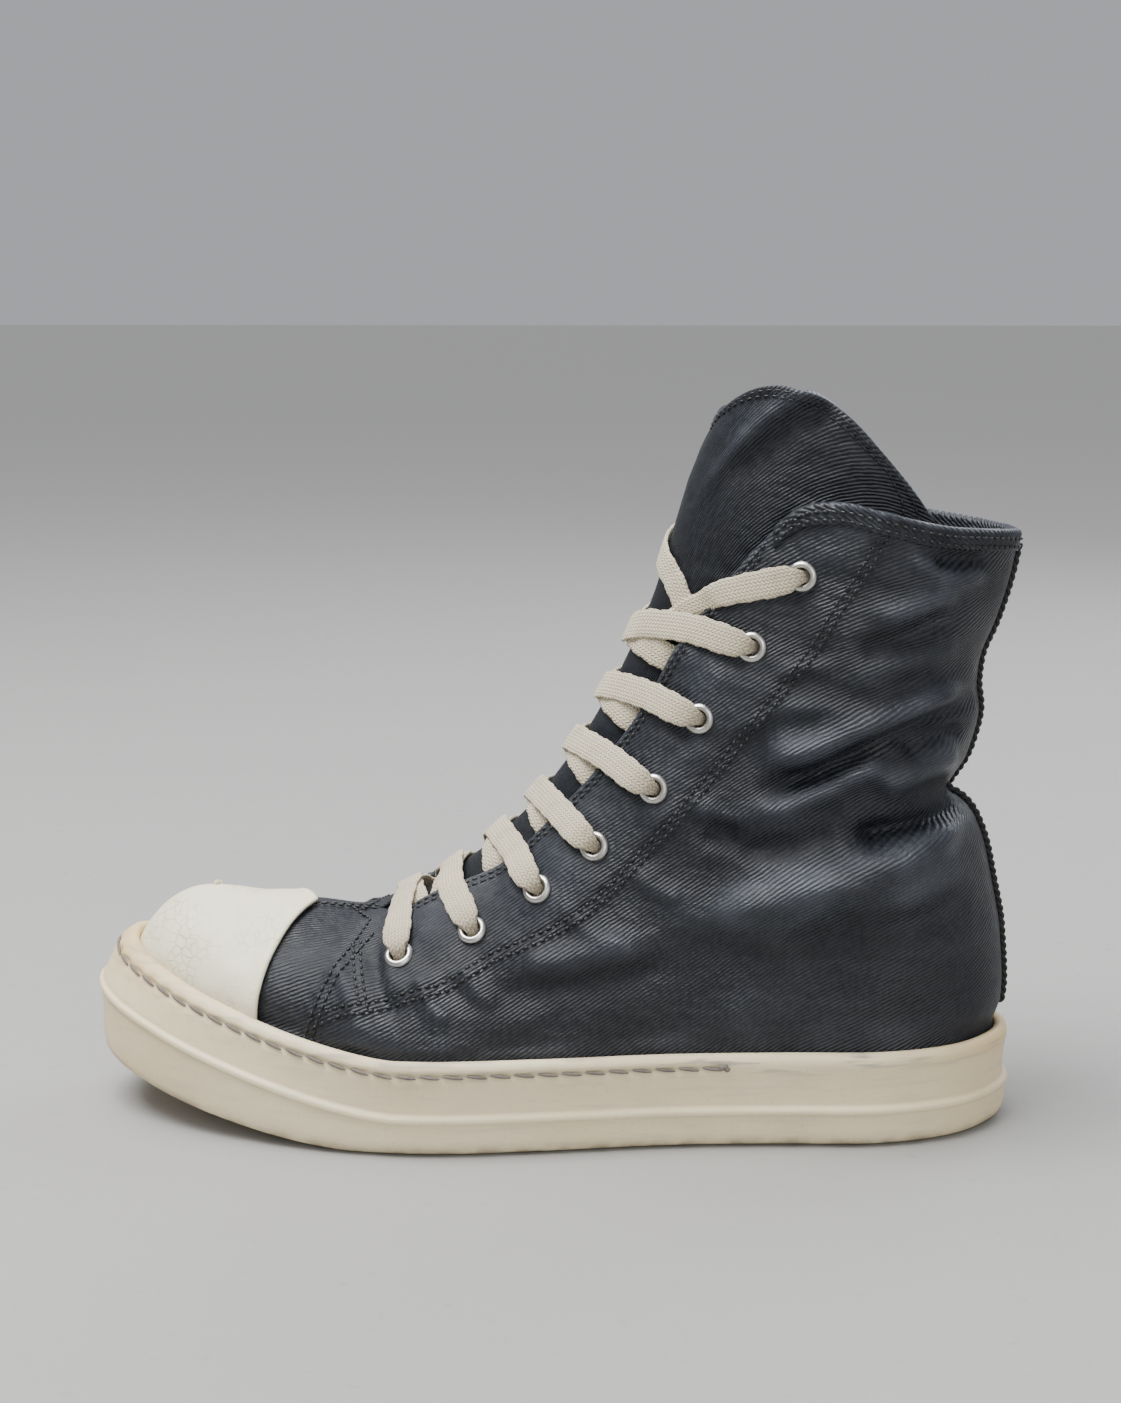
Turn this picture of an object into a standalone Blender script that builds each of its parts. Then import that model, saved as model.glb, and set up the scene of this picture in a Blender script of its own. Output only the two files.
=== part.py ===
"""Left high-top lace-up sneaker with a cup sole, standing empty on its sole.

The toe points along -X, the outer side of the foot faces -Y and the leg opening faces +Z. The origin
is under the middle of the shoe, on the floor. Sizes are in millimetres and become metres when a mesh
is made.
"""

import math

import bmesh
import bpy
from mathutils import Matrix, Vector

MM = 0.001

# Driving sizes of the sole
SOLE_LENGTH = 307.0
BALL_WIDTH = 110.0
RIM_HEIGHT = 31.5
RIDGE_HEIGHT = 12.5
CUP_WALL = 5.0
CUP_FLOOR = 12.0
TOE_SPRING = 18.0
TOE_RIDGE_LIFT = 29.0
TOE_RIM_LIFT = 26.5
TOE_SLANT = 9.0
LIP_THICKNESS = 1.6
BAND_STEP = 1.6
RIM_LIP = 1.4
UNDERSIDE_ROUND = 5.0
INSOLE_THICKNESS = 4.0

# Driving sizes of the upper
COLLAR_HEIGHT = 205.0
COLLAR_WIDTH = 66.0
INSTEP_WIDTH = 40.0
VAMP_HEIGHT = 71.0
UPPER_WALL = 2.0
CAP_THICKNESS = 1.5
CAP_END_ANGLE = 52.0
VAMP_END_ANGLE = 66.0
HEM_THICKNESS = 0.7
HEM_HEIGHT_SHARE = 0.05
HEEL_CORD = 2.4

# Driving sizes of the tongue
TONGUE_HEIGHT = 242.0
TONGUE_THICKNESS = 2.4

# Driving sizes of the lacing
EYELET_OUTER = 9.8
EYELET_BORE = 5.2
EYELET_BARREL = 0.5
EYELET_FLANGE = 0.9
EYELET_SEAT = 0.4
LACE_WIDTH = 9.0
LACE_THICKNESS = 1.8
LACE_CLEAR = 1.0
FIRST_LACE_CLEAR = 2.2
LACE_HUMP = 0.6

# Clearance kept between two pieces that meet
GAP = 0.3

# Mesh fineness
AROUND = 56
PROBE_ANGLE = 0.5

# Half widths of the sole, as shares of half the ball width, by angle round the plan: 0 is the toe
# tip, 180 the heel, negative angles run along the outer side
PLAN = [
    (-180, -0.02), (-165, -0.30), (-150, -0.565), (-135, -0.72), (-120, -0.755), (-105, -0.81),
    (-90, -0.925), (-75, -1.0), (-60, -0.915), (-45, -0.74), (-30, -0.515), (-15, -0.255),
    (0, 0.07), (15, 0.39), (30, 0.63), (45, 0.83), (60, 0.965), (70, 1.0), (82, 0.93), (90, 0.85),
    (105, 0.72), (120, 0.69), (135, 0.67), (150, 0.525), (165, 0.265), (180, -0.02),
]

# Middle line of the vamp by angle, up to the angle where the throat opens: along the shoe (share of
# the sole length from its middle) and height (share of the vamp height)
VAMP_LINE = [
    (0, -0.365, 1.0), (15, -0.357, 1.0), (30, -0.331, 0.987), (45, -0.287, 0.962), (52, -0.256, 0.944),
    (60, -0.215, 0.925), (66, -0.176, 0.925),
]

# The throat edge and the collar by angle: along the shoe (share of the sole length), half width (share
# of half the collar width) and height (share of the collar height)
OPEN_LINE = [
    (72, -0.156, 0.42, 0.341), (78, -0.111, 0.45, 0.376), (84, -0.055, 0.47, 0.415),
    (90, 0.0, 0.49, 0.488), (96, 0.049, 0.52, 0.571), (102, 0.095, 0.56, 0.668),
    (108, 0.143, 0.60, 0.788), (114, 0.195, 0.67, 0.898), (120, 0.248, 0.77, 0.983),
    (126, 0.293, 0.92, 1.0), (132, 0.336, 1.0, 0.988), (138, 0.375, 0.98, 0.973),
    (144, 0.408, 0.88, 0.963), (150, 0.436, 0.71, 0.958), (156, 0.459, 0.515, 0.954),
    (162, 0.475, 0.35, 0.951), (168, 0.485, 0.21, 0.949), (174, 0.489, 0.09, 0.947),
    (180, 0.490, 0.0, 0.946),
]

# How far the back seam stands in from a straight line between sole and collar, by height: share of
# the collar height, then share of the sole length
BACK_SEAM = [
    (0.160, 0.0), (0.190, -0.0065), (0.235, -0.0075), (0.300, -0.0035), (0.337, 0.0), (0.405, 0.010),
    (0.445, 0.0165), (0.475, 0.024), (0.503, 0.034), (0.528, 0.049), (0.541, 0.060), (0.556, 0.057),
    (0.590, 0.043), (0.634, 0.034), (0.670, 0.031), (0.717, 0.0345), (0.761, 0.031), (0.810, 0.019),
    (0.878, 0.007), (0.946, 0.0),
]

# How much of the back seam's shape each angle follows
BACK_SHARE = [(90, 0.0), (105, 0.06), (120, 0.22), (135, 0.52), (150, 0.84), (165, 0.97), (180, 1.0)]

# How far a section's arch has turned where it ends at the top line, by angle
ARCH_END = [
    (0, 90.0), (66, 90.0), (72, 68.0), (78, 64.0), (84, 60.0), (90, 56.0), (102, 52.0), (114, 48.0),
    (126, 42.0), (180, 40.0),
]

# Rows of the upper, as shares of the arch from the sole to the top line
ARCH_ROWS = [0.0, 0.075, 0.15, 0.24, 0.33, 0.405, 0.457, 0.51, 0.59, 0.68, 0.79, 0.9, 1.0]

# Eyelets of one side from the toe up: along the shoe (share of the sole length) and height (share of
# the collar height)
EYELETS = [
    (-0.153, 0.295), (-0.076, 0.336), (-0.007, 0.400), (0.051, 0.470), (0.112, 0.562), (0.158, 0.672),
    (0.210, 0.784), (0.259, 0.893),
]

# Middle line of the tongue's outer face by share of its length: along the shoe (share of the sole
# length), height (share of the tongue height), depth of its curl (share of the instep width) and half
# width of its curl (share of half the collar width)
TONGUE_LINE = [
    (0.00, -0.197, 0.252, 0.22, 0.35), (0.08, -0.150, 0.288, 0.28, 0.37), (0.16, -0.105, 0.330, 0.36, 0.40),
    (0.25, -0.052, 0.385, 0.45, 0.43), (0.34, -0.004, 0.450, 0.54, 0.45), (0.43, 0.040, 0.530, 0.62, 0.48),
    (0.52, 0.074, 0.610, 0.67, 0.51), (0.61, 0.102, 0.690, 0.70, 0.545), (0.70, 0.123, 0.770, 0.74, 0.575),
    (0.80, 0.140, 0.845, 0.76, 0.61), (0.90, 0.156, 0.905, 0.78, 0.65), (1.00, 0.172, 0.945, 0.78, 0.69),
]

# Reach of the tongue round its curl in degrees, then the straight tail behind it as a share of the
# sole length, on the outer and on the inner side, by share of its length
TONGUE_REACH = [
    (0.00, 80.0, 0.0, 80.0, 0.0), (0.55, 98.0, 0.0, 98.0, 0.0), (0.68, 100.0, 0.0, 98.0, 0.0),
    (0.78, 96.0, 0.03, 94.0, 0.0), (0.88, 92.0, 0.09, 90.0, 0.01), (1.00, 90.0, 0.135, 88.0, 0.03),
]

# Height that the tongue's top edge stands above its front, by place from the inner edge (-1) over the
# front (0) to the outer edge (1), as shares of the tongue height
TONGUE_TOP = [
    (-1.0, -0.14), (-0.75, -0.05), (-0.5, 0.01), (-0.25, 0.02), (0.0, 0.0), (0.15, 0.022), (0.3, 0.048),
    (0.42, 0.050), (0.6, 0.018), (0.75, -0.035), (0.88, -0.09), (1.0, -0.15),
]

TONGUE_FAN_START = 0.6
TONGUE_TAIL_FLARE = 0.10
TONGUE_ROWS = 16
TONGUE_COLUMNS = 9

# Each pair of strands from the toe up: how far above its own eyelet it crosses the middle of the
# tongue, how far above it reaches the opposite facing (both in eyelet spacings), and how far it shows
# beyond the middle as a share of the way to that facing
LACE_CROSSINGS = [
    (0.30, 0.40, 0.2), (0.05, -0.45, 0.7), (-0.12, -0.50, 0.7), (-0.18, -0.50, 0.7), (-0.25, -0.50, 0.7),
    (-0.38, -0.55, 0.7), (-0.50, -0.60, 0.7), (-0.42, -0.60, 0.2),
]

# Places of a strand's points over the tongue, from its own facing (-1) to the opposite one (1)
LACE_STEPS = (-0.75, -0.5, -0.2, 0.0, 0.2, 0.5, 0.68)

PALETTE = {
    "rubber_sole": ((0.72, 0.64, 0.46), 0.55, 0.0),
    "waxed_cloth": ((0.022, 0.025, 0.032), 0.6, 0.0),
    "cap_leather": ((0.74, 0.71, 0.56), 0.5, 0.0),
    "lining": ((0.20, 0.19, 0.17), 0.85, 0.0),
    "lace_cotton": ((0.62, 0.57, 0.46), 0.9, 0.0),
    "eyelet_nickel": ((0.60, 0.60, 0.58), 0.3, 1.0),
    "cord_black": ((0.012, 0.012, 0.014), 0.8, 0.0),
}


def curve_through(points, x, column=1):
    """Value at x of a smooth curve through hand-chosen points that rise in x."""
    if x <= points[0][0]:
        return points[0][column]
    if x >= points[-1][0]:
        return points[-1][column]
    i = max(k for k in range(len(points) - 1) if points[k][0] <= x)
    x0, y0 = points[i][0], points[i][column]
    x1, y1 = points[i + 1][0], points[i + 1][column]
    before = points[max(i - 1, 0)]
    after = points[min(i + 2, len(points) - 1)]
    slope0 = (y1 - before[column]) / (x1 - before[0])
    slope1 = (after[column] - y0) / (after[0] - x0)
    span = x1 - x0
    t = (x - x0) / span
    near = 2 * t**3 - 3 * t**2 + 1
    return (
        near * y0
        + (t**3 - 2 * t**2 + t) * span * slope0
        + (1 - near) * y1
        + (t**3 - t**2) * span * slope1
    )


def toe_lift(x, power=1.35, start=-0.155):
    """Share of the toe's rise at x: 0 behind the ball of the foot, 1 at the toe tip."""
    along = (start * SOLE_LENGTH - x) / ((start + 0.5) * SOLE_LENGTH)
    return max(0.0, along) ** power


def underside(x):
    return TOE_SPRING * toe_lift(x, power=1.6, start=-0.2)


def ridge_height(x):
    return RIDGE_HEIGHT + TOE_RIDGE_LIFT * toe_lift(x)


def rim_height(x):
    return RIM_HEIGHT + TOE_RIM_LIFT * toe_lift(x)


def floor_height(x):
    """Top face of the cup's floor, where the insole lies."""
    return underside(x) + CUP_FLOOR


def plan_point(angle):
    """Point of the sole's widest outline at an angle round the plan."""
    angle = (angle + 180) % 360 - 180
    x = -math.cos(math.radians(angle)) * SOLE_LENGTH / 2
    return Vector((x, curve_through(PLAN, angle) * BALL_WIDTH / 2))


def inset_point(angle, inset):
    """Point that lies an inset inside the sole's widest outline."""
    along = plan_point(angle + PROBE_ANGLE) - plan_point(angle - PROBE_ANGLE)
    outward = Vector((-along.y, along.x)).normalized()
    return plan_point(angle) - outward * inset


def slant(angle):
    """How far the toe's upper band leans in at this angle."""
    return TOE_SLANT * toe_lift(plan_point(angle).x)


def middle_y(angle):
    """Sideways place of the shoe's middle line, which bends with the foot."""
    toe, heel = plan_point(0).y, plan_point(180).y
    return curve_through([(0, toe), (60, toe / 4), (90, 0), (180, heel)], abs(angle))


def feather_point(angle):
    """Outer face of the upper where it stands in the cup."""
    return inset_point(angle, CUP_WALL + GAP + slant(angle))


def arch_base(angle):
    x = feather_point(angle).x
    return rim_height(x) + GAP - TOE_SLANT * toe_lift(x)


def top_point(angle):
    """Point of the upper's top line: vamp middle, throat edge or collar."""
    turn = abs(angle)
    side = -1 if angle < 0 else 1
    if turn <= VAMP_END_ANGLE:
        x = curve_through(VAMP_LINE, turn, 1) * SOLE_LENGTH
        return Vector((x, middle_y(turn), curve_through(VAMP_LINE, turn, 2) * VAMP_HEIGHT))
    x = curve_through(OPEN_LINE, turn, 1) * SOLE_LENGTH
    y = middle_y(turn) + side * curve_through(OPEN_LINE, turn, 2) * COLLAR_WIDTH / 2
    return Vector((x, y, curve_through(OPEN_LINE, turn, 3) * COLLAR_HEIGHT))


def upper_point(angle, row):
    """Point of the upper's outer face: row 0 is the rim of the sole, row 1 the top line."""
    foot = feather_point(angle)
    top = top_point(angle)
    end = math.radians(curve_through(ARCH_END, abs(angle)))
    turn = end * row
    inward = (1 - math.cos(turn)) / (1 - math.cos(end))
    base = arch_base(angle)
    z = base + (top.z - base) * math.sin(turn) / math.sin(end)
    x = foot.x + (top.x - foot.x) * inward
    y = foot.y + (top.y - foot.y) * inward
    back = curve_through(BACK_SEAM, z / COLLAR_HEIGHT) * SOLE_LENGTH
    x -= curve_through(BACK_SHARE, abs(angle)) * back
    return Vector((x, y, z))


def upper_normal(angle, row):
    """Outward direction of the upper's outer face."""
    step_row = 0.01
    low, high = max(row - step_row, 0), min(row + step_row, 1)
    up = upper_point(angle, high) - upper_point(angle, low)
    round_shoe = upper_point(angle + PROBE_ANGLE, row) - upper_point(angle - PROBE_ANGLE, row)
    return round_shoe.cross(up).normalized() * -1


def upper_at(side, x, z):
    """Angle and row of the upper's face at a place seen from the side, on side -1 or 1."""
    turn, row = 100.0, 0.7
    for _ in range(40):
        here = upper_point(side * turn, row)
        by_turn = upper_point(side * (turn + 0.1), row) - here
        by_row = upper_point(side * turn, row - 0.001) - here
        matrix = Matrix(((by_turn.x, by_row.x), (by_turn.z, by_row.z)))
        change = matrix.inverted_safe() @ Vector((x - here.x, z - here.z))
        turn = min(max(turn + 0.1 * max(min(change.x, 80), -80), VAMP_END_ANGLE), 176)
        row = min(max(row - 0.001 * max(min(change.y, 150), -150), 0.0), 1.0)
    return side * turn, row


def finish_named(material):
    """The material of a name in the palette, made on its first use."""
    colour, roughness, metallic = PALETTE[material]
    finish = bpy.data.materials.get(material)
    if finish is None:
        finish = bpy.data.materials.new(material)
        finish.use_nodes = True
        shader = finish.node_tree.nodes["Principled BSDF"]
        shader.inputs["Base Color"].default_value = (*colour, 1.0)
        shader.inputs["Roughness"].default_value = roughness
        shader.inputs["Metallic"].default_value = metallic
        finish.diffuse_color = (*colour, 1.0)
    return finish


def new_object(name, mesh, material):
    """Adds a mesh as a named object with its material."""
    data = bpy.data.meshes.new(name)
    bmesh.ops.scale(mesh, vec=(MM, MM, MM), verts=mesh.verts)
    mesh.to_mesh(data)
    mesh.free()
    data.shade_smooth()
    data.materials.append(finish_named(material))
    obj = bpy.data.objects.new(name, data)
    bpy.context.scene.collection.objects.link(obj)
    return obj


def grid_mesh(rows):
    """Sheet of quads through rows of points; points at one place become one."""
    mesh = bmesh.new()
    verts = [[mesh.verts.new(point) for point in row] for row in rows]
    for lower, upper in zip(verts, verts[1:]):
        for k in range(len(lower) - 1):
            mesh.faces.new((lower[k], upper[k], upper[k + 1], lower[k + 1]))
    bmesh.ops.remove_doubles(mesh, verts=mesh.verts, dist=GAP / 30)
    return mesh


def add_wall(obj, thickness, outward=False):
    """Gives a sheet its thickness, behind its face or in front of it."""
    wall = obj.modifiers.new("Wall", "SOLIDIFY")
    wall.thickness = thickness * MM
    wall.offset = 1 if outward else -1
    wall.use_even_offset = True


def ring_angles():
    return [k * 360 / AROUND - 180 for k in range(AROUND)]


def sole_profile(angle):
    """Section of the cup at one angle, from the underside over the rim down to the cup's floor."""
    x = plan_point(angle).x
    bottom, ridge, rim = underside(x), ridge_height(x), rim_height(x)
    lean = slant(angle)
    floor = floor_height(inset_point(angle, CUP_WALL + lean).x)
    steps = [
        (UNDERSIDE_ROUND, bottom),
        (UNDERSIDE_ROUND * 0.4, bottom + UNDERSIDE_ROUND * 0.25),
        (UNDERSIDE_ROUND * 0.16, bottom + UNDERSIDE_ROUND * 0.8),
        (BAND_STEP * 0.4, ridge - LIP_THICKNESS * 1.2),
        (0.0, ridge - LIP_THICKNESS / 2),
        (0.0, ridge + LIP_THICKNESS / 2),
        (BAND_STEP, ridge + LIP_THICKNESS * 1.3),
        (BAND_STEP * 0.8 + lean * 0.45, rim - (rim - ridge) * 0.42),
        (BAND_STEP * 0.25 + lean * 0.75, rim - (rim - ridge) * 0.2),
        (BAND_STEP * 0.6 + lean * 0.92, rim - RIM_LIP),
        (BAND_STEP * 1.6 + lean, rim),
        (CUP_WALL - RIM_LIP * 0.3 + lean, rim - RIM_LIP * 0.4),
        (CUP_WALL + lean, rim - RIM_LIP * 1.6),
        (CUP_WALL + lean, floor),
    ]
    return [Vector((*inset_point(angle, inset), z)) for inset, z in steps]


def cap_strip(mesh, ring, flip):
    """Closes a ring of vertices with quads across the shoe, from toe to heel."""
    half = len(ring) // 2
    for k in range(half):
        a, b = ring[k], ring[k + 1]
        c, d = ring[(-k - 1) % len(ring)], ring[-k % len(ring)]
        corners = list(dict.fromkeys((a, b, c, d)))
        if flip:
            corners.reverse()
        mesh.faces.new(corners)


def build_sole():
    mesh = bmesh.new()
    sections = [[mesh.verts.new(p) for p in sole_profile(angle)] for angle in ring_angles()]
    for k, section in enumerate(sections):
        following = sections[(k + 1) % AROUND]
        for i in range(len(section) - 1):
            mesh.faces.new((section[i], following[i], following[i + 1], section[i + 1]))
    cap_strip(mesh, [section[0] for section in sections], flip=True)
    cap_strip(mesh, [section[-1] for section in sections], flip=False)
    bmesh.ops.recalc_face_normals(mesh, faces=mesh.faces)
    new_object("cup_sole", mesh, "rubber_sole")


def build_insole():
    inset = CUP_WALL + UPPER_WALL + 3 * GAP
    mesh = bmesh.new()
    rings = []
    for lift in (GAP, GAP + INSOLE_THICKNESS):
        ring = []
        for angle in ring_angles():
            point = inset_point(angle, inset + slant(angle))
            ring.append(mesh.verts.new((*point, floor_height(point.x) + lift)))
        rings.append(ring)
    low, high = rings
    for k in range(AROUND):
        following = (k + 1) % AROUND
        mesh.faces.new((low[k], low[following], high[following], high[k]))
    cap_strip(mesh, low, flip=True)
    cap_strip(mesh, high, flip=False)
    bmesh.ops.recalc_face_normals(mesh, faces=mesh.faces)
    new_object("insole", mesh, "lining")


def build_upper():
    angles = ring_angles() + [180]
    foot = []
    for angle in angles:
        x, y = feather_point(angle)
        foot.append(Vector((x, y, floor_height(x) + GAP)))
    rows = [[upper_point(angle, row) for angle in angles] for row in ARCH_ROWS]
    upper = new_object("upper", grid_mesh([foot] + rows), "waxed_cloth")
    add_wall(upper, UPPER_WALL)
    return upper


def build_toe_cap():
    """Thin shell over the front of the upper, down to just above the rim."""
    step = 360 / AROUND
    inner = [k * step for k in range(1, int(CAP_END_ANGLE / step) + 1)] + [CAP_END_ANGLE]
    angles = [-a for a in reversed(inner)] + [0] + inner
    rows = []
    for row in ARCH_ROWS[1:]:
        points = []
        for angle in angles:
            rise = rim_height(feather_point(angle).x) + 3 * GAP - arch_base(angle)
            arch = top_point(angle).z - arch_base(angle)
            lowest = math.degrees(math.asin(rise / arch)) / 90
            place = lowest if row < lowest + 0.04 else row
            points.append(upper_point(angle, place) + upper_normal(angle, place) * GAP)
        rows.append(points)
    for k, angle in enumerate(angles):
        mirrored = rows[-1][len(angles) - 1 - k]
        middle = (rows[-1][k] + mirrored) / 2
        if k <= len(angles) // 2:
            rows[-1][k] = middle
            rows[-1][len(angles) - 1 - k] = middle.copy()
    add_wall(new_object("toe_cap", grid_mesh(rows), "cap_leather"), CAP_THICKNESS, outward=True)


def build_collar_hem():
    """Turned hem round the collar, a step proud of the quarter."""
    start, end = 118, 178
    count = 14
    for side, name in ((-1, "collar_hem_outer"), (1, "collar_hem_inner")):
        angles = [side * (start + (end - start) * k / count) for k in range(count + 1)]
        if side < 0:
            angles.reverse()
        rows = []
        for share in (1 - HEM_HEIGHT_SHARE, 1.0):
            rows.append([upper_point(a, share) + upper_normal(a, share) * GAP for a in angles])
        add_wall(new_object(name, grid_mesh(rows), "waxed_cloth"), HEM_THICKNESS, outward=True)


def build_heel_cord():
    """Round cord down the back seam, from under the collar's hem to the rim."""
    radius = HEEL_CORD / 2
    curve = bpy.data.curves.new("heel_cord", "CURVE")
    curve.dimensions = "3D"
    curve.bevel_depth = radius * MM
    curve.bevel_resolution = 2
    curve.use_fill_caps = True
    rows = [0.03, *ARCH_ROWS[1:-1], 0.985]
    spline = curve.splines.new("POLY")
    spline.points.add(len(rows) - 1)
    for k, row in enumerate(rows):
        point = upper_point(180, row) + upper_normal(180, row) * (radius + GAP * 1.5)
        point.y = middle_y(180)
        spline.points[k].co = (*(point * MM), 1.0)
    cord = bpy.data.objects.new("heel_cord", curve)
    bpy.context.scene.collection.objects.link(cord)
    curve.materials.append(finish_named("cord_black"))


def tongue_frame(share):
    """Middle point of the tongue, the way into the shoe from it, and its curl's depth and half width."""
    length, height = SOLE_LENGTH, TONGUE_HEIGHT

    def middle(s):
        return Vector(
            (curve_through(TONGUE_LINE, s, 1) * length, 0, curve_through(TONGUE_LINE, s, 2) * height)
        )

    step = 0.02
    along = middle(min(share + step, 1)) - middle(max(share - step, 0))
    inward = Vector((along.z, 0, -along.x)).normalized()
    level = max(0.0, min(1.0, (share - 0.55) / 0.3))
    inward = (inward * (1 - level) + Vector((1, 0, 0)) * level).normalized()
    depth = curve_through(TONGUE_LINE, share, 3) * INSTEP_WIDTH
    half = curve_through(TONGUE_LINE, share, 4) * COLLAR_WIDTH / 2
    return middle(share), inward, depth, half


def tongue_point(share, across):
    """Point of the tongue's outer face; across runs from -1 (inner edge) to 1 (outer edge)."""
    middle, inward, depth, half = tongue_frame(share)
    columns = (1, 2) if across > 0 else (3, 4)
    reach, tail = (curve_through(TONGUE_REACH, share, column) for column in columns)
    tail *= SOLE_LENGTH
    arc = math.radians(reach) * (depth + half) / 2
    run = abs(across) * (arc + tail)
    turn = math.radians(reach) * min(1.0, run / arc)
    beyond = max(0.0, run - arc)
    side = -1 if across > 0 else 1
    flare = TONGUE_TAIL_FLARE * beyond * (1 - beyond / (0.3 * SOLE_LENGTH))
    point = middle + inward * (depth * (1 - math.cos(turn)) + beyond)
    point.y = middle_y(90) + side * (half * math.sin(turn) + flare)
    fan = max(0.0, (share - TONGUE_FAN_START) / (1 - TONGUE_FAN_START))
    point.z += fan**1.5 * curve_through(TONGUE_TOP, across) * TONGUE_HEIGHT
    return point


def build_tongue():
    rows = []
    for i in range(TONGUE_ROWS + 1):
        share = i / TONGUE_ROWS
        rows.append(
            [tongue_point(share, -k / TONGUE_COLUMNS) for k in range(-TONGUE_COLUMNS, TONGUE_COLUMNS + 1)]
        )
    add_wall(new_object("tongue", grid_mesh(rows), "waxed_cloth"), TONGUE_THICKNESS)


def eyelet_places():
    """Angle, row, side and number of each eyelet."""
    places = []
    for side in (-1, 1):
        for number, (along, height) in enumerate(EYELETS, 1):
            angle, row = upper_at(side, along * SOLE_LENGTH, height * COLLAR_HEIGHT)
            places.append((angle, row, side, number))
    return places


def bulge(angle, row, radius):
    """How far the upper rises over a flat ring that touches it at its middle."""
    centre, normal = upper_point(angle, row), upper_normal(angle, row)
    rises = [0.0]
    for turn in range(-8, 9):
        for step in range(-8, 9):
            away = upper_point(angle + turn, min(row + step * 0.02, 1.0)) - centre
            if away.length < radius:
                rises.append(away.dot(normal))
    return max(rises)


def eyelet_matrix(angle, row):
    """Turns a ring on the Z axis so that it lies on the upper."""
    normal = upper_normal(angle, row)
    seat = upper_point(angle, row) + normal * bulge(angle, row, EYELET_OUTER / 2)
    return Matrix.Translation(seat) @ normal.to_track_quat("Z", "Y").to_matrix().to_4x4()


def build_eyelets(places):
    """Flanged rings, each with its barrel through the hole in the facing."""
    bore, outer = EYELET_BORE / 2, EYELET_OUTER / 2
    barrel = bore + EYELET_BARREL
    below = UPPER_WALL * 0.8
    section = [
        (bore, -below), (barrel, -below), (barrel, EYELET_SEAT), (outer, EYELET_SEAT), (outer - 0.5, EYELET_SEAT + EYELET_FLANGE),
        (bore + 0.3, EYELET_SEAT + EYELET_FLANGE),
    ]
    for angle, row, side, number in places:
        mesh = bmesh.new()
        verts = [mesh.verts.new((radius, 0, height)) for radius, height in section]
        edges = [mesh.edges.new((verts[k], verts[(k + 1) % len(verts)])) for k in range(len(verts))]
        bmesh.ops.spin(
            mesh, geom=verts + edges, axis=(0, 0, 1), cent=(0, 0, 0), angle=math.tau, steps=10,
            use_merge=True,
        )
        bmesh.ops.recalc_face_normals(mesh, faces=mesh.faces)
        bmesh.ops.transform(mesh, matrix=eyelet_matrix(angle, row), verts=mesh.verts)
        name = "eyelet_{}_{}".format("outer" if side < 0 else "inner", number)
        new_object(name, mesh, "eyelet_nickel")


def punch_eyelet_holes(upper, places):
    """Cuts the hole of every eyelet through the upper's wall."""
    mesh = bmesh.new()
    radius = EYELET_BORE / 2 + EYELET_BARREL + GAP
    for angle, row, _, _ in places:
        bmesh.ops.create_cone(
            mesh, cap_ends=True, segments=10, radius1=radius, radius2=radius, depth=UPPER_WALL * 5,
            matrix=eyelet_matrix(angle, row),
        )
    cutter = new_object("eyelet_holes", mesh, "lining")
    cutter.hide_render = True
    cutter.display_type = "WIRE"
    holes = upper.modifiers.new("Holes", "BOOLEAN")
    holes.operation = "DIFFERENCE"
    holes.solver = "EXACT"
    holes.object = cutter


def ribbon_mesh(centres, ups, width, thickness):
    """Flat strip along centres; each up is the way its flat side faces."""
    mesh = bmesh.new()
    rings = []
    for k, (centre, up) in enumerate(zip(centres, ups)):
        along = centres[min(k + 1, len(centres) - 1)] - centres[max(k - 1, 0)]
        across = along.cross(up).normalized() * width / 2
        flat = across.cross(along).normalized() * thickness / 2
        ring = [centre + across + flat, centre - across + flat, centre - across - flat]
        ring.append(centre + across - flat)
        rings.append([mesh.verts.new(point) for point in ring])
    for lower, upper in zip(rings, rings[1:]):
        for k in range(len(lower)):
            following = (k + 1) % len(lower)
            mesh.faces.new((lower[k], lower[following], upper[following], upper[k]))
    mesh.faces.new(rings[0])
    mesh.faces.new(rings[-1])
    bmesh.ops.recalc_face_normals(mesh, faces=mesh.faces)
    return mesh


def level_of(point):
    """Share of the tongue's length whose cross line passes a point, seen from the side."""
    low, high = 0.0, 1.0
    step = 0.01
    for _ in range(24):
        share = (low + high) / 2
        middle, _, _, _ = tongue_frame(share)
        along = tongue_frame(share + step)[0] - tongue_frame(share - step)[0]
        if (point - middle).dot(along) > 0:
            low = share
        else:
            high = share
    return low


def eyelet_point(side, number):
    along, height = EYELETS[number - 1]
    angle, row = upper_at(side, along * SOLE_LENGTH, height * COLLAR_HEIGHT)
    return upper_point(angle, row), upper_normal(angle, row)


def lace_levels():
    """Level of each eyelet on the tongue, from the toe up."""
    return [level_of(eyelet_point(-1, number)[0]) for number in range(1, len(EYELETS) + 1)]


def level_between(levels, number):
    """Level at a fractional eyelet number, such as halfway between two eyelets."""
    whole = min(max(int(number), 1), len(levels) - 1)
    return levels[whole - 1] + (number - whole) * (levels[whole] - levels[whole - 1])


def edge_angle(side, level):
    """Angle at which the throat edge has a level."""
    low, high = OPEN_LINE[0][0], 122.0
    for _ in range(20):
        middle = (low + high) / 2
        if level_of(top_point(side * middle)) < level:
            low = middle
        else:
            high = middle
    return side * low


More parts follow.
